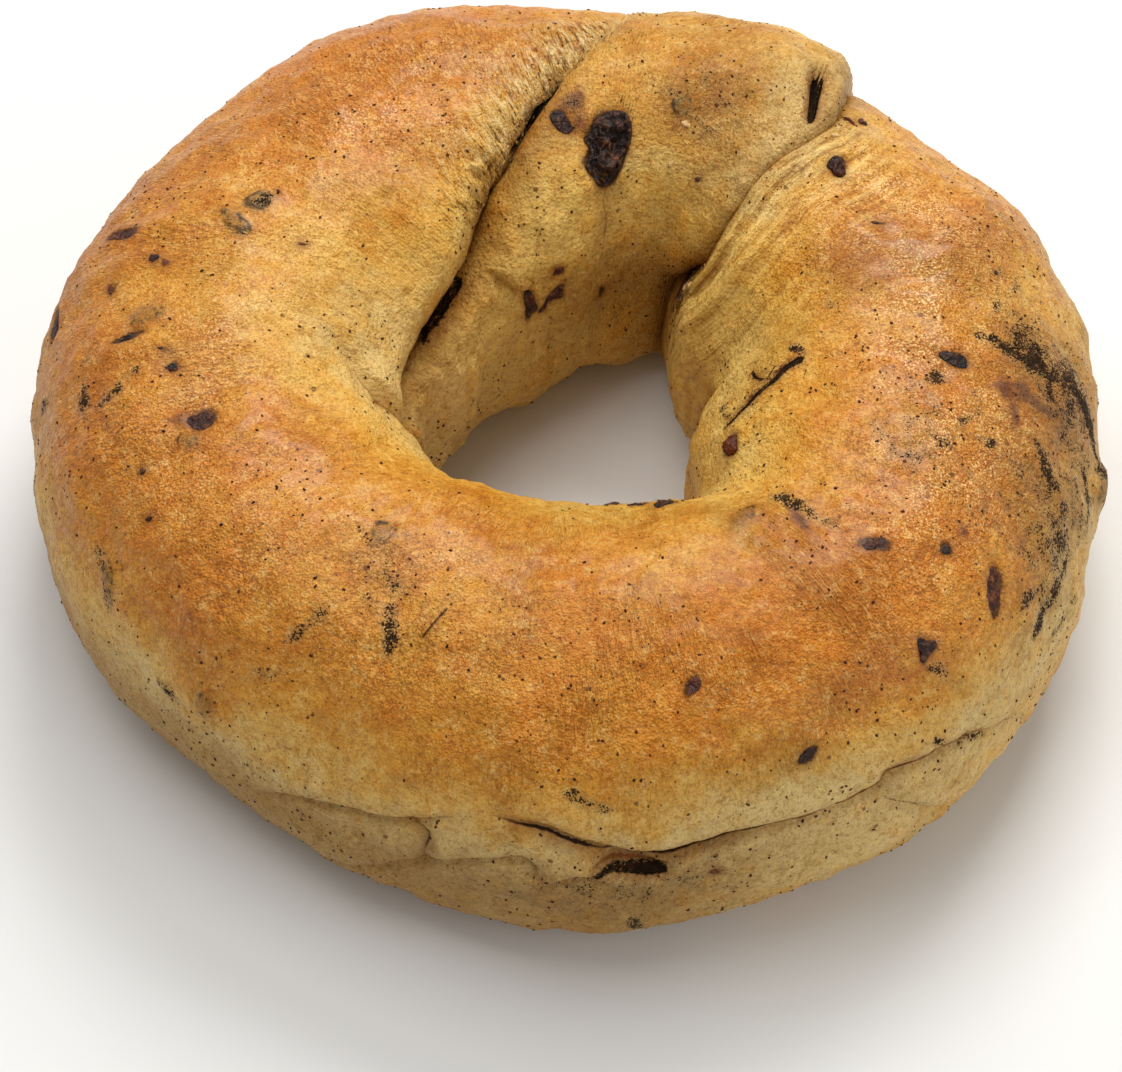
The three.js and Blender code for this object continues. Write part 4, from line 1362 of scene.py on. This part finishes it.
@dataclass
class Dough:
    """The two lobes of dough with their crust.

    Fields are the form, the place of the ring's axis in the frame in mm, the two grids, the steps
    of the coarse grid that weighs their rows, and the columns over which a lobe's ends taper. Then
    come the tables that its finish is mixed from, each row a place and an amount.
    """

    form: DoughForm
    axis: Array
    limb: Lobe = Lobe(Side.LIMB, "dough_limb", start=74, stop=436, columns=620, rows=158)
    end: Lobe = Lobe(Side.END, "dough_end_piece", start=42, stop=232, columns=330, rows=250)
    coarse_steps: int = 181
    taper_columns: int = 6
    # Browning by place: [around, across, spread around, spread across, amount].
    browning: tuple[tuple[float, ...], ...] = (
        (125, 75, 38, 30, 0.25), (200, 62, 30, 30, 0.2), (172, 112, 24, 28, -0.4),
        (165, 26, 26, 24, 0.35), (205, 40, 18, 20, 0.15), (168, 78, 16, 18, -0.15),
        (275, 80, 30, 26, 0.15), (318, 70, 26, 26, 0.25), (20, 70, 20, 24, 0.1), (70, 60, 18, 34, 0.2),
        (42, 95, 10, 40, -0.35), (8, 45, 10, 16, -0.25), (350, 20, 24, 20, -0.1),
        (190, 20, 30, 22, -0.15), (95, 128, 14, 22, -0.25), (302, 14, 24, 20, -0.38),
        (272, 3, 24, 18, -0.5), (262, 50, 34, 16, 0.1), (290, 30, 24, 14, -0.2), (232, 10, 22, 20, -0.2),
    )  # fmt: skip
    # Darker skin, and painted shade low down and in the end piece's hollows, in the same terms.
    dark_skin_and_shade: tuple[tuple[float, ...], ...] = (
        (350, 42, 15, 26, 0.8), (274, 1, 24, 15, 0.6), (240, -4, 16, 12, 0.2), (165, 20, 20, 16, 0.3),
        (335, 75, 8, 14, 0.15),
    )  # fmt: skip
    end_dark_skin_and_shade: tuple[tuple[float, ...], ...] = (
        (63, 100, 16, 27, 0.95), (76, 58, 30, 20, 0.25), (86, 166, 22, 18, 1.0), (100, 112, 9, 12, 0.25),
    )  # fmt: skip
    # Painted glints on the grains, in the same terms.
    painted_glints: tuple[tuple[float, ...], ...] = (
        (125, 92, 26, 26, 0.75), (28, 86, 26, 26, 0.9), (0, 76, 22, 22, 0.8), (335, 72, 18, 22, 0.8),
        (205, 78, 28, 20, 0.5), (175, 95, 20, 22, 0.5), (245, 88, 16, 18, 0.4),
    )  # fmt: skip
    # Glaze, in the same terms.
    shining: tuple[tuple[float, ...], ...] = (
        (165, 84, 30, 20, 0.6), (275, 60, 26, 26, -0.7), (160, 25, 34, 26, -0.7), (18, 84, 18, 18, 0.8),
        (215, 88, 20, 12, 0.5),
    )  # fmt: skip
    # Dark smears of cinnamon, in the same terms; the broad one low at the front, at 274, is partly painted
    # shade.
    smears_and_front_shade: tuple[tuple[float, ...], ...] = (
        (358.8, 41, 6.5, 14, 1.7), (3, 56, 8, 7, 0.9), (356, 24, 8, 12, 0.9), (352, 133, 8, 10, 0.7),
        (345, 85, 18, 14, 0.5), (20, 88, 14, 8, 0.5), (238, 82, 8, 14, 0.9), (337, 80, 10, 12, 0.7),
        (316, 98, 7, 12, 0.6), (66, 99, 10, 15, 0.9), (342, 38, 9, 22, 0.9), (335, 22, 10, 12, 0.8),
        (262, 78, 8, 10, 0.4), (330, 40, 14, 18, 0.5), (208, 30, 16, 14, 0.35), (140, 62, 16, 10, 0.4),
        (75, 60, 14, 16, 0.35), (95, 158, 14, 10, 0.4), (276, -10, 8, 8, 0.5), (274, 2, 22, 13, 0.9),
        (83, 132, 5, 20, 0.5), (14, 60, 12, 16, 0.5),
    )  # fmt: skip

    def reach(self, lobe: Lobe, around: Array, across: Array) -> tuple[Array, dict[str, Array]]:
        """How far a lobe reaches from the section's centre.

        Args:
            lobe: which lobe.
            around: angles in radians, one for each point.
            across: the same.

        Returns:
            The reach in mm, and what the finish needs to know of each point.
        """
        form = self.form
        section = form.ring.section(around, across)
        plain = form.ring.place(around, across, section, section.reach)
        inside, near, is_left = form.seam(around, across, plain)
        ragged = Ripple(3.5, seed=5).at(plain) * 0.07 + Ripple(1.2, seed=6).at(plain) * 0.03
        depth, limb_width, end_width = near.values.T
        limb = section.reach + form.swell(form.limb_swells, around, across)
        limb -= form.shoulder(inside + ragged, limb_width, depth)
        end = section.reach + form.swell(form.end_swells, around, across)
        end -= form.shoulder(-inside + ragged, end_width, depth)
        own, other = (limb, end) if lobe.side is Side.LIMB else (end, limb)
        folds, line, ink = form.fold_relief(plain)
        relief = folds + form.spots(form.bumps, plain) + form.rolled(around, across)
        own_inside = inside if lobe.side is Side.LIMB else -inside
        relief += self.skin_relief(plain, own_inside, near.along, is_left, across, lobe)
        shown = ease(-1.2, -0.2, own - other)
        facts = {
            "inside": own_inside, "along": near.along, "is_left": is_left, "line": line,
            "ink": ink, "plain": plain, "shown": shown, "gap": other - own, "depth": depth,
        }  # fmt: skip
        return np.maximum(own + relief, form.core_reach), facts

    def skin_relief(self, plain: Array, inside: Array, along: Array, is_left: Array,
                    across: Array, lobe: Lobe) -> Array:
        """Fine relief of the skin: ripples, torn strands, stretch marks and raisin pits."""
        relief = Ripple(9, seed=1).at(plain) * 0.16 + Ripple(3.6, seed=2).at(plain) * 0.07
        relief += Ripple(1.7, seed=3).at(plain) * 0.03
        lift = np.degrees(across)
        if lobe.side is Side.LIMB:
            torn = bell(inside, 5) * (inside > -1) * is_left * band(lift, (66, 80), (136, 122))
            strand = np.stack([along / 0.9, inside / 4.5, along / 9], -1) * 1.2
            patch = np.clip(0.7 + 0.7 * Ripple(4, seed=13).at(plain), 0, 1.4)
            relief += torn * patch * Ripple(1.2, seed=11).at(strand) * 0.2
            relief -= torn * np.clip(Ripple(2.2, seed=14).at(plain) - 0.8, 0, 1) * 0.6
            pulled = bell(inside, 11) * ~is_left * band(lift, (58, 80), (190, 150))
            pull = np.stack([inside / 2.4, along / 26, 0 * along], -1) * 2.4
            relief += pulled * Ripple(2.4, seed=12).at(pull) * 0.26
        else:
            turn = np.arctan2(plain[:, 1], plain[:, 0])
            ridges = np.stack([turn * 36, lift / 20, 0 * lift], -1)
            relief += Ripple(5.5, seed=31).at(ridges) * 0.16 * ease(96, 124, lift)
        return relief + self.bedding(plain)

    def bedding(self, plain: Array) -> Array:
        """The collars of crust round the fruit, and the lumps over sunk fruit."""
        relief = np.zeros(len(plain))
        for fruit in RAISINS.values():
            away = fruit.distance(self.form.ring, plain)
            relief += (0.05 + 0.2 * fruit.proud) * bell(away - 0.6, 0.6)
            relief -= 0.2 * ease(0.1, -0.6, away)
        for lump, height in COVERED:
            size = min(lump.length, lump.width) / 2
            relief += height * ease(0.9 * size, -0.9 * size, lump.distance(self.form.ring, plain))
        return relief

    def grid(self, lobe: Lobe) -> tuple[Array, Array]:
        """The lobe's two angles at each point of its grid, with few rows where it is hidden."""
        coarse_t = np.radians(np.linspace(lobe.start, lobe.stop, self.coarse_steps))
        coarse_p = np.radians(np.linspace(-90, 270, self.coarse_steps))
        t, p = (side.ravel() for side in np.meshgrid(coarse_t, coarse_p, indexing="ij"))
        reach, facts = self.reach(lobe, t, p)
        low = self.form.ring.section(t, p).height + reach * np.sin(p) < 0.1
        close = bell(facts["line"], 2.2) * np.clip(facts["ink"] * 4, 0, 1)
        weight = np.clip(facts["shown"], 0.06, 1) * np.where(low, 0.3, 1)
        weight *= np.clip(reach, 8, None) / 18
        weight *= 1 + 2.2 * close.max(1)
        weight = self.blurred(weight.reshape(len(coarse_t), len(coarse_p)))
        columns = np.radians(np.linspace(lobe.start, lobe.stop, lobe.columns))
        shares = (np.arange(lobe.rows) + 0.5) / lobe.rows
        across = np.empty((lobe.columns, lobe.rows))
        table = np.stack([np.interp(columns, coarse_t, weights) for weights in weight.T], -1)
        for i, row in enumerate(table):
            total = np.concatenate([[0], np.cumsum((row[1:] + row[:-1]) / 2)])
            across[i] = np.interp(shares, total / total[-1], coarse_p)
        return np.repeat(columns[:, None], lobe.rows, 1), across

    @staticmethod
    def blurred(weight: Array) -> Array:
        """A table smoothed along both its sides."""
        kernel = bell(np.linspace(-2, 2, 13), 1)
        kernel /= kernel.sum()
        edge = len(kernel) // 2
        for axis in (0, 1):
            padded = np.pad(weight, [(edge, edge) if k == axis else (0, 0) for k in (0, 1)], "edge")
            weight = np.apply_along_axis(np.convolve, axis, padded, kernel, "valid")
        return weight

    def build(self, lobe: Lobe) -> bpy.types.Object:
        """Makes one lobe's mesh with what its finish reads."""
        t, p = (angles.ravel() for angles in self.grid(lobe))
        reach, facts = self.reach(lobe, t, p)
        columns = np.arange(lobe.columns)
        taper = np.repeat(np.clip(np.minimum(columns, columns[::-1]) / self.taper_columns, 0, 1), lobe.rows)
        reach = self.form.core_reach * (1 - taper) * 0.2 + reach * taper
        section = self.form.ring.section(t, p)
        points = self.form.ring.place(t, p, section, reach)
        caps = [points[: lobe.rows].mean(0), points[-lobe.rows :].mean(0)]
        everything = (np.vstack([points, caps]) + self.axis) * MM
        crust = mesh_object(lobe.name, everything, tube_faces(lobe.columns, lobe.rows))
        self.dress(crust, lobe, t, p, facts, points, section)
        return crust

    def dress(self, crust: bpy.types.Object, lobe: Lobe, t: Array, p: Array,
              facts: dict[str, Array], points: Array, section: Section) -> None:
        """Stores what the crust's finish reads."""
        form, is_limb = self.form, lobe.side is Side.LIMB
        lift, turn = np.degrees(p), np.degrees(t)
        plain, inside, is_left = facts["plain"], facts["inside"], facts["is_left"]
        flat = np.zeros(len(t))
        if is_limb:
            browned = 0.12 + 0.66 * band(lift, (-12, 52), (152, 96)) + form.swell(self.browning, t, p)
            browned += Ripple(22, seed=21).at(plain) * 0.06
            browned -= 0.3 * bell(inside, 6) * (lift > 20)
            torn = bell(inside, 5.5) * is_left * band(lift, (58, 72), (140, 126))
        else:
            browned = 0.04 + 0.42 * band(lift, (28, 70), (128, 98)) * ease(50, 66, turn)
            browned += form.swell(self.browning[:1], t, p) * 0.3
            torn = flat
        # Painted shade: low at the front, in the seams' grooves, and in the end piece's valley.
        hollow = 0.75 * ease(18, -12, lift) * ease(296, 276, turn)
        hollow = np.maximum(hollow, bell(inside, 1.6) * np.clip(facts["depth"] / 4, 0, 1))
        if not is_limb:
            hollow = np.maximum(hollow, bell(inside, 3.6) * is_left * ease(84, 112, lift))
        smear = np.clip(form.swell(self.smears_and_front_shade, t, p), 0, 1.6)
        spice = 0.5 + 0.35 * Ripple(16, seed=22).at(plain) + smear * 0.6
        groups = ([*RAISINS.values(), *BITS], [lump for lump, _ in COVERED], STAINS)
        by_left = bell(inside, 2.4) * is_left * band(lift, (52, 70), (146, 134))
        by_right = bell(inside, 0.9) * ~is_left * band(lift, (134, 144), (168, 158))
        values = {
            "browned": np.clip(browned, 0, 1),
            "torn": torn,
            "pulled": bell(inside, 12) * ~is_left * ease(50, 80, lift) * is_limb,
            "rim": bell(inside, 0.4) * is_left * band(lift, (48, 60), (108, 98)),
            "inner": ease(104, 130, lift) * (1 - 0.8 * bell(turn - 172, 26)),
            "hollow": np.clip(hollow, 0, 1),
            "dusky": form.swell(self.dark_skin_and_shade if is_limb else self.end_dark_skin_and_shade, t, p),
            "shine": 1 + form.swell(self.shining, t, p),
            "sparkle": form.swell(self.painted_glints, t, p),
            "smear": smear,
            "spice": np.clip(spice, 0, 2),
            "crumbly": by_left * is_limb + by_right,
            "marks": np.stack([form.nearest(group, plain) for group in groups], -1),
            "grit": form.lines(form.grit, plain),
            "crevice": form.crossings(form.crevices, plain),
            "line": facts["line"],
            "ink": facts["ink"],
            "flow": np.stack([t * section.radius, p * section.reach, flat], -1),
            "seam_flow": np.stack([facts["along"] + is_left * 0.55 * inside, inside, flat], -1),
            "shown": facts["shown"] * (facts["gap"] < 0.05) * (points[:, 2] > 0.3),
        }
        for name, value in values.items():
            ends = np.zeros((2, *value.shape[1:]))
            store(crust, name, np.concatenate([value, ends]))


@dataclass
class FruitSkins:
    """Fruit bedded in the crust, each piece a wrinkled skin that is closed below.

    Fields are the dough, the spacing of a skin's points in mm, how deep its rim and its underside
    lie, and the wavelengths of its wrinkles.
    """

    dough: Dough
    spacing: float = 0.13
    rim_depth: float = 0.3
    bed_depth: float = 1.0
    wrinkles: tuple[float, float] = (2.1, 0.7)

    def crust_at(self, fruit: Fruit, u: Array, v: Array) -> tuple[Array, Array]:
        """Points of the crust at offsets in mm from the fruit's middle, and the ways out of it."""
        form = self.dough.form
        t, p = np.array(math.radians(fruit.around)), np.array(math.radians(fruit.across))
        here = form.ring.points(t, p)
        along = np.linalg.norm(form.ring.points(t + 1e-3, p) - here) * 1e3
        climb = np.linalg.norm(form.ring.points(t, p + 1e-3) - here) * 1e3
        around, across = t + u / along, p + v / climb
        reaches = [self.dough.reach(lobe, around, across)[0] for lobe in (self.dough.limb, self.dough.end)]
        points = form.ring.place(around, across, form.ring.section(around, across), np.maximum(*reaches))
        return points, form.ring.normals(around, across)

    def shape(self, fruit: Fruit, number: int) -> tuple[Array, Faces, Array]:
        """One piece's points in the frame in mm, its faces, and how high its wrinkles stand."""
        size = float(fruit.radius(np.linspace(0, 2 * np.pi, 16)).mean())
        rings = max(5, round(size / self.spacing))
        sides = max(16, round(2 * math.pi * size / self.spacing))
        angle = np.linspace(0, 2 * np.pi, sides, endpoint=False)
        share = np.repeat(np.arange(1, rings + 1) / rings, sides)
        edge = np.tile(fruit.radius(angle), rings)
        angle = np.tile(angle, rings)
        u = np.concatenate([[0], share * edge * np.cos(angle)])
        v = np.concatenate([[0], share * edge * np.sin(angle)])
        share = np.concatenate([[0], share])
        crust, up = self.crust_at(fruit, u, v)
        long, short = self.wrinkles
        relief = np.empty(len(u))
        for i, at in enumerate(zip(u, v)):
            spot = Vector((at[0], at[1], number * 5.3))
            spot += noise.noise_vector(spot / 1.6) * 0.5
            ridges = [1 - abs(noise.noise(spot / size)) * 2.5 for size in (long, short, short / 2)]
            relief[i] = 0.5 * ridges[0] + 0.3 * ridges[1] + 0.2 * ridges[2]
        height = (fruit.proud + self.rim_depth) * np.sqrt(1 - share**4) - self.rim_depth
        height += fruit.wrinkle * (relief - 0.6) * np.clip((1 - share) * 5, 0.25, 1)
        points = crust + up * height[:, None]
        points = np.vstack([points, crust[:1] - up[:1] * self.bed_depth]) + self.dough.axis
        return points, lens_faces(rings, sides), np.concatenate([np.clip(relief, 0, 1), [0]])

    def build(self, name: str, fruits: Sequence[Fruit], number: int) -> bpy.types.Object:
        """Makes one object of one or more pieces."""
        points, faces, relief, warmth = [], [], [], []
        for k, fruit in enumerate(fruits):
            start = sum(map(len, points))
            some, sides, high = self.shape(fruit, number + k)
            points.append(some)
            faces += [tuple(corner + start for corner in face) for face in sides]
            relief.append(high)
            warmth.append(np.full(len(some), fruit.warmth))
        skin = mesh_object(name, np.vstack(points) * MM, faces)
        store(skin, "wrinkle", np.concatenate(relief))
        store(skin, "warmth", np.concatenate(warmth))
        return skin


@dataclass
class Spice:
    """Grains scattered over a crust by Geometry Nodes.

    Fields are the crust's attribute that says how many there are, their number in a square
    millimetre where it is 1, their radii in mm, how rare the large ones are, their breadth and
    thickness for a length of 1, how far their skins go in and out in mm, the scale of that, and
    the name of the node tree.
    """

    crowd: str = "spice"
    per_mm2: float = 0.7
    smallest: float = 0.055
    largest: float = 0.25
    rarity: float = 3.6
    breadth: float = 0.66
    flatness: float = 0.55
    raggedness: float = 0.11
    bumps: float = 4200.0
    tree_name: str = "cinnamon_scatter"

    def tree(self) -> bpy.types.NodeTree:
        """The node tree that scatters the grains."""
        tree = bpy.data.node_groups.new(self.tree_name, "GeometryNodeTree")
        kinds = {"Geometry": "Geometry", "Crowd": "String", "Seed": "Int", "Finish": "Material"}
        names = ("Geometry", "Crowd", "Grains per area", "Smallest", "Largest", "Rarity", "Breadth",
                 "Flatness", "Raggedness", "Seed", "Finish")  # fmt: skip
        for name in names:
            kind = "NodeSocket" + kinds.get(name, "Float")
            tree.interface.new_socket(name, in_out="INPUT", socket_type=kind)
        tree.interface.new_socket("Geometry", in_out="OUTPUT", socket_type="NodeSocketGeometry")
        given = tree.nodes.new("NodeGroupInput").outputs
        add = partial(add_node, tree)

        def value(kind: str, sockets: dict[Any, Any], **settings: str) -> bpy.types.NodeSocket:
            """The first output of a new node."""
            return add(kind, settings, sockets).outputs[0]

        def product(a: Any, b: Any) -> bpy.types.NodeSocket:
            """a times b."""
            return value("ShaderNodeMath", {0: a, 1: b}, operation="MULTIPLY")

        spice = value("GeometryNodeInputNamedAttribute", {"Name": given["Crowd"]}, data_type="FLOAT")
        shown = value("GeometryNodeInputNamedAttribute", {"Name": "shown"}, data_type="FLOAT")
        density = product(product(spice, shown), given["Grains per area"])
        points = add(
            "GeometryNodeDistributePointsOnFaces",
            {"distribute_method": "RANDOM"},
            {"Mesh": given["Geometry"], "Density": density, "Seed": given["Seed"]},
        )
        ball = value("GeometryNodeMeshIcoSphere", {"Radius": 1.0, "Subdivisions": 1})
        flat = value("ShaderNodeCombineXYZ", {"X": 1.0, "Y": given["Breadth"], "Z": given["Flatness"]})
        shaped = value("GeometryNodeTransform", {"Geometry": ball, "Scale": flat})
        pick = add("FunctionNodeRandomValue", {"data_type": "FLOAT"}, {"Seed": given["Seed"]}).outputs[1]
        share = value("ShaderNodeMath", {0: pick, 1: given["Rarity"]}, operation="POWER")
        span = {"Value": share, "To Min": given["Smallest"], "To Max": given["Largest"]}
        size = value("ShaderNodeMapRange", span)
        turns = {0: (0.0, 0.0, 0.0), 1: (0.0, 0.0, 6.28), "Seed": given["Seed"]}
        spun = value("FunctionNodeRandomValue", turns, data_type="FLOAT_VECTOR")
        turned = value(
            "FunctionNodeRotateEuler",
            {"Rotation": points.outputs["Rotation"], "Rotate By": spun},
            rotation_type="EULER",
            space="LOCAL",
        )
        placed = {"Points": points.outputs["Points"], "Instance": shaped, "Rotation": turned, "Scale": size}
        grains = value("GeometryNodeInstanceOnPoints", placed)
        real = value("GeometryNodeRealizeInstances", {"Geometry": grains})
        bumps = add("ShaderNodeTexNoise", {"noise_dimensions": "3D"}, {"Scale": self.bumps, "Detail": 1.0})
        centred = {0: bumps.outputs["Color"], 1: (0.5, 0.5, 0.5)}
        offset = value("ShaderNodeVectorMath", centred, operation="SUBTRACT")
        push = value("ShaderNodeVectorMath", {0: offset, "Scale": given["Raggedness"]}, operation="SCALE")
        ragged = value("GeometryNodeSetPosition", {"Geometry": real, "Offset": push})
        dressed = value("GeometryNodeSetMaterial", {"Geometry": ragged, "Material": given["Finish"]})
        add("NodeGroupOutput", {}, {"Geometry": dressed})
        return tree

    def build(self, name: str, crust: bpy.types.Object, seed: int,
              finish: bpy.types.Material) -> bpy.types.Object:
        """Scatters grains over a crust and returns them as a plain mesh."""
        tree = bpy.data.node_groups.get(self.tree_name) or self.tree()
        host = bpy.data.objects.new(name + "_host", crust.data)
        bpy.context.scene.collection.objects.link(host)
        scatter = host.modifiers.new("scatter", "NODES")
        scatter.node_group = tree
        inputs = {
            "Crowd": self.crowd,
            "Grains per area": self.per_mm2 / MM**2,
            "Rarity": self.rarity,
            "Smallest": self.smallest * MM,
            "Largest": self.largest * MM,
            "Breadth": self.breadth,
            "Flatness": self.flatness,
            "Raggedness": self.raggedness * MM,
            "Seed": seed,
            "Finish": finish,
        }
        for item in tree.interface.items_tree:
            if item.item_type == "SOCKET" and item.in_out == "INPUT" and item.name in inputs:
                scatter[item.identifier] = inputs[item.name]
        dg = bpy.context.evaluated_depsgraph_get()
        mesh = bpy.data.meshes.new_from_object(host.evaluated_get(dg))
        host.modifiers.remove(scatter)
        bpy.data.objects.remove(host)
        mesh.name = name
        grains = bpy.data.objects.new(name, mesh)
        bpy.context.scene.collection.objects.link(grains)
        return grains


# ---- Studio --------------------------------------------------------------------------------------


@dataclass(frozen=True)
class Softbox:
    """A rectangular light: its place in mm, its sides in mm, its power in watts and its colour."""

    name: str
    place: tuple[float, float, float]
    sides: tuple[float, float]
    power: float
    colour: Colour = (1.0, 1.0, 1.0)


@dataclass
class Studio:
    """The table, the lights and the camera."""

    axis: Array
    aim: tuple[float, float, float] = (-1.92, -9.88, 15)
    elevation: float = 54
    distance: float = 620
    lens: float = 195.83
    sensor: float = 36
    boxes: tuple[Softbox, ...] = (
        Softbox("back_softbox", (90, 330, 440), (300, 220), 2.2, (1.0, 0.98, 0.95)),
        Softbox("top_softbox", (-120, 60, 560), (420, 380), 1.35),
        Softbox("right_fill", (420, -320, 300), (400, 300), 0.75),
    )
    ambient: float = 0.36
    air: Colour = (1.0, 0.99, 0.97)
    table_half: float = 3.0  # metres
    table_drop: float = 0.00002  # metres that the table lies below the bagel's base
    near_and_far: tuple[float, float] = (0.05, 20)  # metres between which the camera sees

    def build(self) -> None:
        """Makes the studio."""
        self.lay_table()
        for box in self.boxes:
            self.hang(box)
        world = bpy.data.worlds.new("studio_air")
        world.use_nodes = True
        sky = world.node_tree.nodes["Background"]
        sky.inputs["Color"].default_value = (*self.air, 1.0)
        sky.inputs["Strength"].default_value = self.ambient
        bpy.context.scene.world = world
        bpy.context.scene.view_settings.view_transform = "Standard"
        self.set_camera()

    def lay_table(self) -> None:
        """Lays the table top."""
        h, z = self.table_half, -self.table_drop
        corners = np.array([(-h, -h, z), (h, -h, z), (h, h, z), (-h, h, z)])
        table = mesh_object("table_top", corners, [(0, 1, 2, 3)])
        table.data.materials.append(TableFinish().material())

    def hang(self, box: Softbox) -> None:
        """Hangs one light, turned to the origin."""
        light = bpy.data.lights.new(box.name, "AREA")
        light.shape = "RECTANGLE"
        light.size, light.size_y = (side * MM for side in box.sides)
        light.energy = box.power
        light.color = box.colour
        lamp = bpy.data.objects.new(box.name, light)
        lamp.location = Vector(box.place) * MM
        lamp.rotation_euler = (-lamp.location).to_track_quat("-Z", "Y").to_euler()
        bpy.context.scene.collection.objects.link(lamp)

    def set_camera(self) -> None:
        """Sets up the camera."""
        lens = bpy.data.cameras.new("camera")
        lens.lens, lens.sensor_width = self.lens, self.sensor
        lens.clip_start, lens.clip_end = self.near_and_far
        camera = bpy.data.objects.new("camera", lens)
        angle = math.radians(self.elevation)
        back = np.array([0, -math.cos(angle), math.sin(angle)])
        camera.location = (np.array(self.aim) + self.axis) * MM + back * self.distance * MM
        camera.rotation_euler = Vector(-back).to_track_quat("-Z", "Y").to_euler()
        bpy.context.scene.collection.objects.link(camera)
        bpy.context.scene.camera = camera


# ---- Assembly ------------------------------------------------------------------------------------


def ring_axis(form: DoughForm) -> Array:
    """Where the ring's axis stands in the frame, in mm, from the dough's own box."""
    around, across = np.linspace(0, 2 * np.pi, 361), np.linspace(-0.6, 0.9, 61)
    t, p = (angles.ravel() for angles in np.meshgrid(around, across, indexing="ij"))
    dough = Dough(form, np.zeros(3))
    outer = []
    for lobe in (dough.limb, dough.end):
        reach, facts = dough.reach(lobe, t, p)
        points = form.ring.place(t, p, form.ring.section(t, p), reach)
        outer.append(points[facts["gap"] < 0])
    everything = np.vstack(outer)
    low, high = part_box("dough")
    shift = np.array(low + high) / 2 / MM - (everything.min(0) + everything.max(0)) / 2
    return np.array([shift[0], shift[1], 0.0])


def put(piece: bpy.types.Object, finish: bpy.types.Material, nodes: Sequence[str]) -> None:
    """Gives a piece its finish and its body, and hides the solids that it stands for."""
    piece.data.materials.clear()
    piece.data.materials.append(finish)
    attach(piece, ROOT)
    if nodes:
        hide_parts(*nodes)
    log.info("%s: %d faces", piece.name, len(piece.data.polygons))


def main() -> None:
    """Builds the bagel and its studio."""
    form = DoughForm()
    axis = ring_axis(form)
    log.info("ring axis at %s mm", np.round(axis, 2))
    dough = Dough(form, axis)
    crust = CrustFinish().material()
    cinnamon = SpiceFinish().material()
    spice = Spice()
    crumbs = Spice("crumbly", per_mm2=2.2, smallest=0.05, largest=0.36, rarity=2.0, breadth=0.4,
                   flatness=0.16, raggedness=0.12)  # fmt: skip
    dried = FlakeFinish().material()
    for number, lobe in enumerate((dough.limb, dough.end)):
        piece = dough.build(lobe)
        grains = spice.build("cinnamon_on_" + lobe.side.value, piece, 40 + number, cinnamon)
        torn = crumbs.build("crumbs_on_" + lobe.side.value, piece, 60 + number, dried)
        put(piece, crust, ["dough"])
        put(grains, cinnamon, [])
        put(torn, dried, [])
    skins = FruitSkins(dough)
    skin = RaisinFinish().material()
    for number, (name, fruit) in enumerate(RAISINS.items()):
        put(skins.build(name + "_skin", [fruit], number), skin, [name])
    put(skins.build("fruit_bits", BITS, 60), skin, [])
    put(skins.build("dough_flakes", FLAKES, 90), dried, [])
    Studio(axis).build()


if __name__ == "__main__":
    logging.basicConfig(level=logging.INFO, format="%(name)s: %(message)s")
    main()
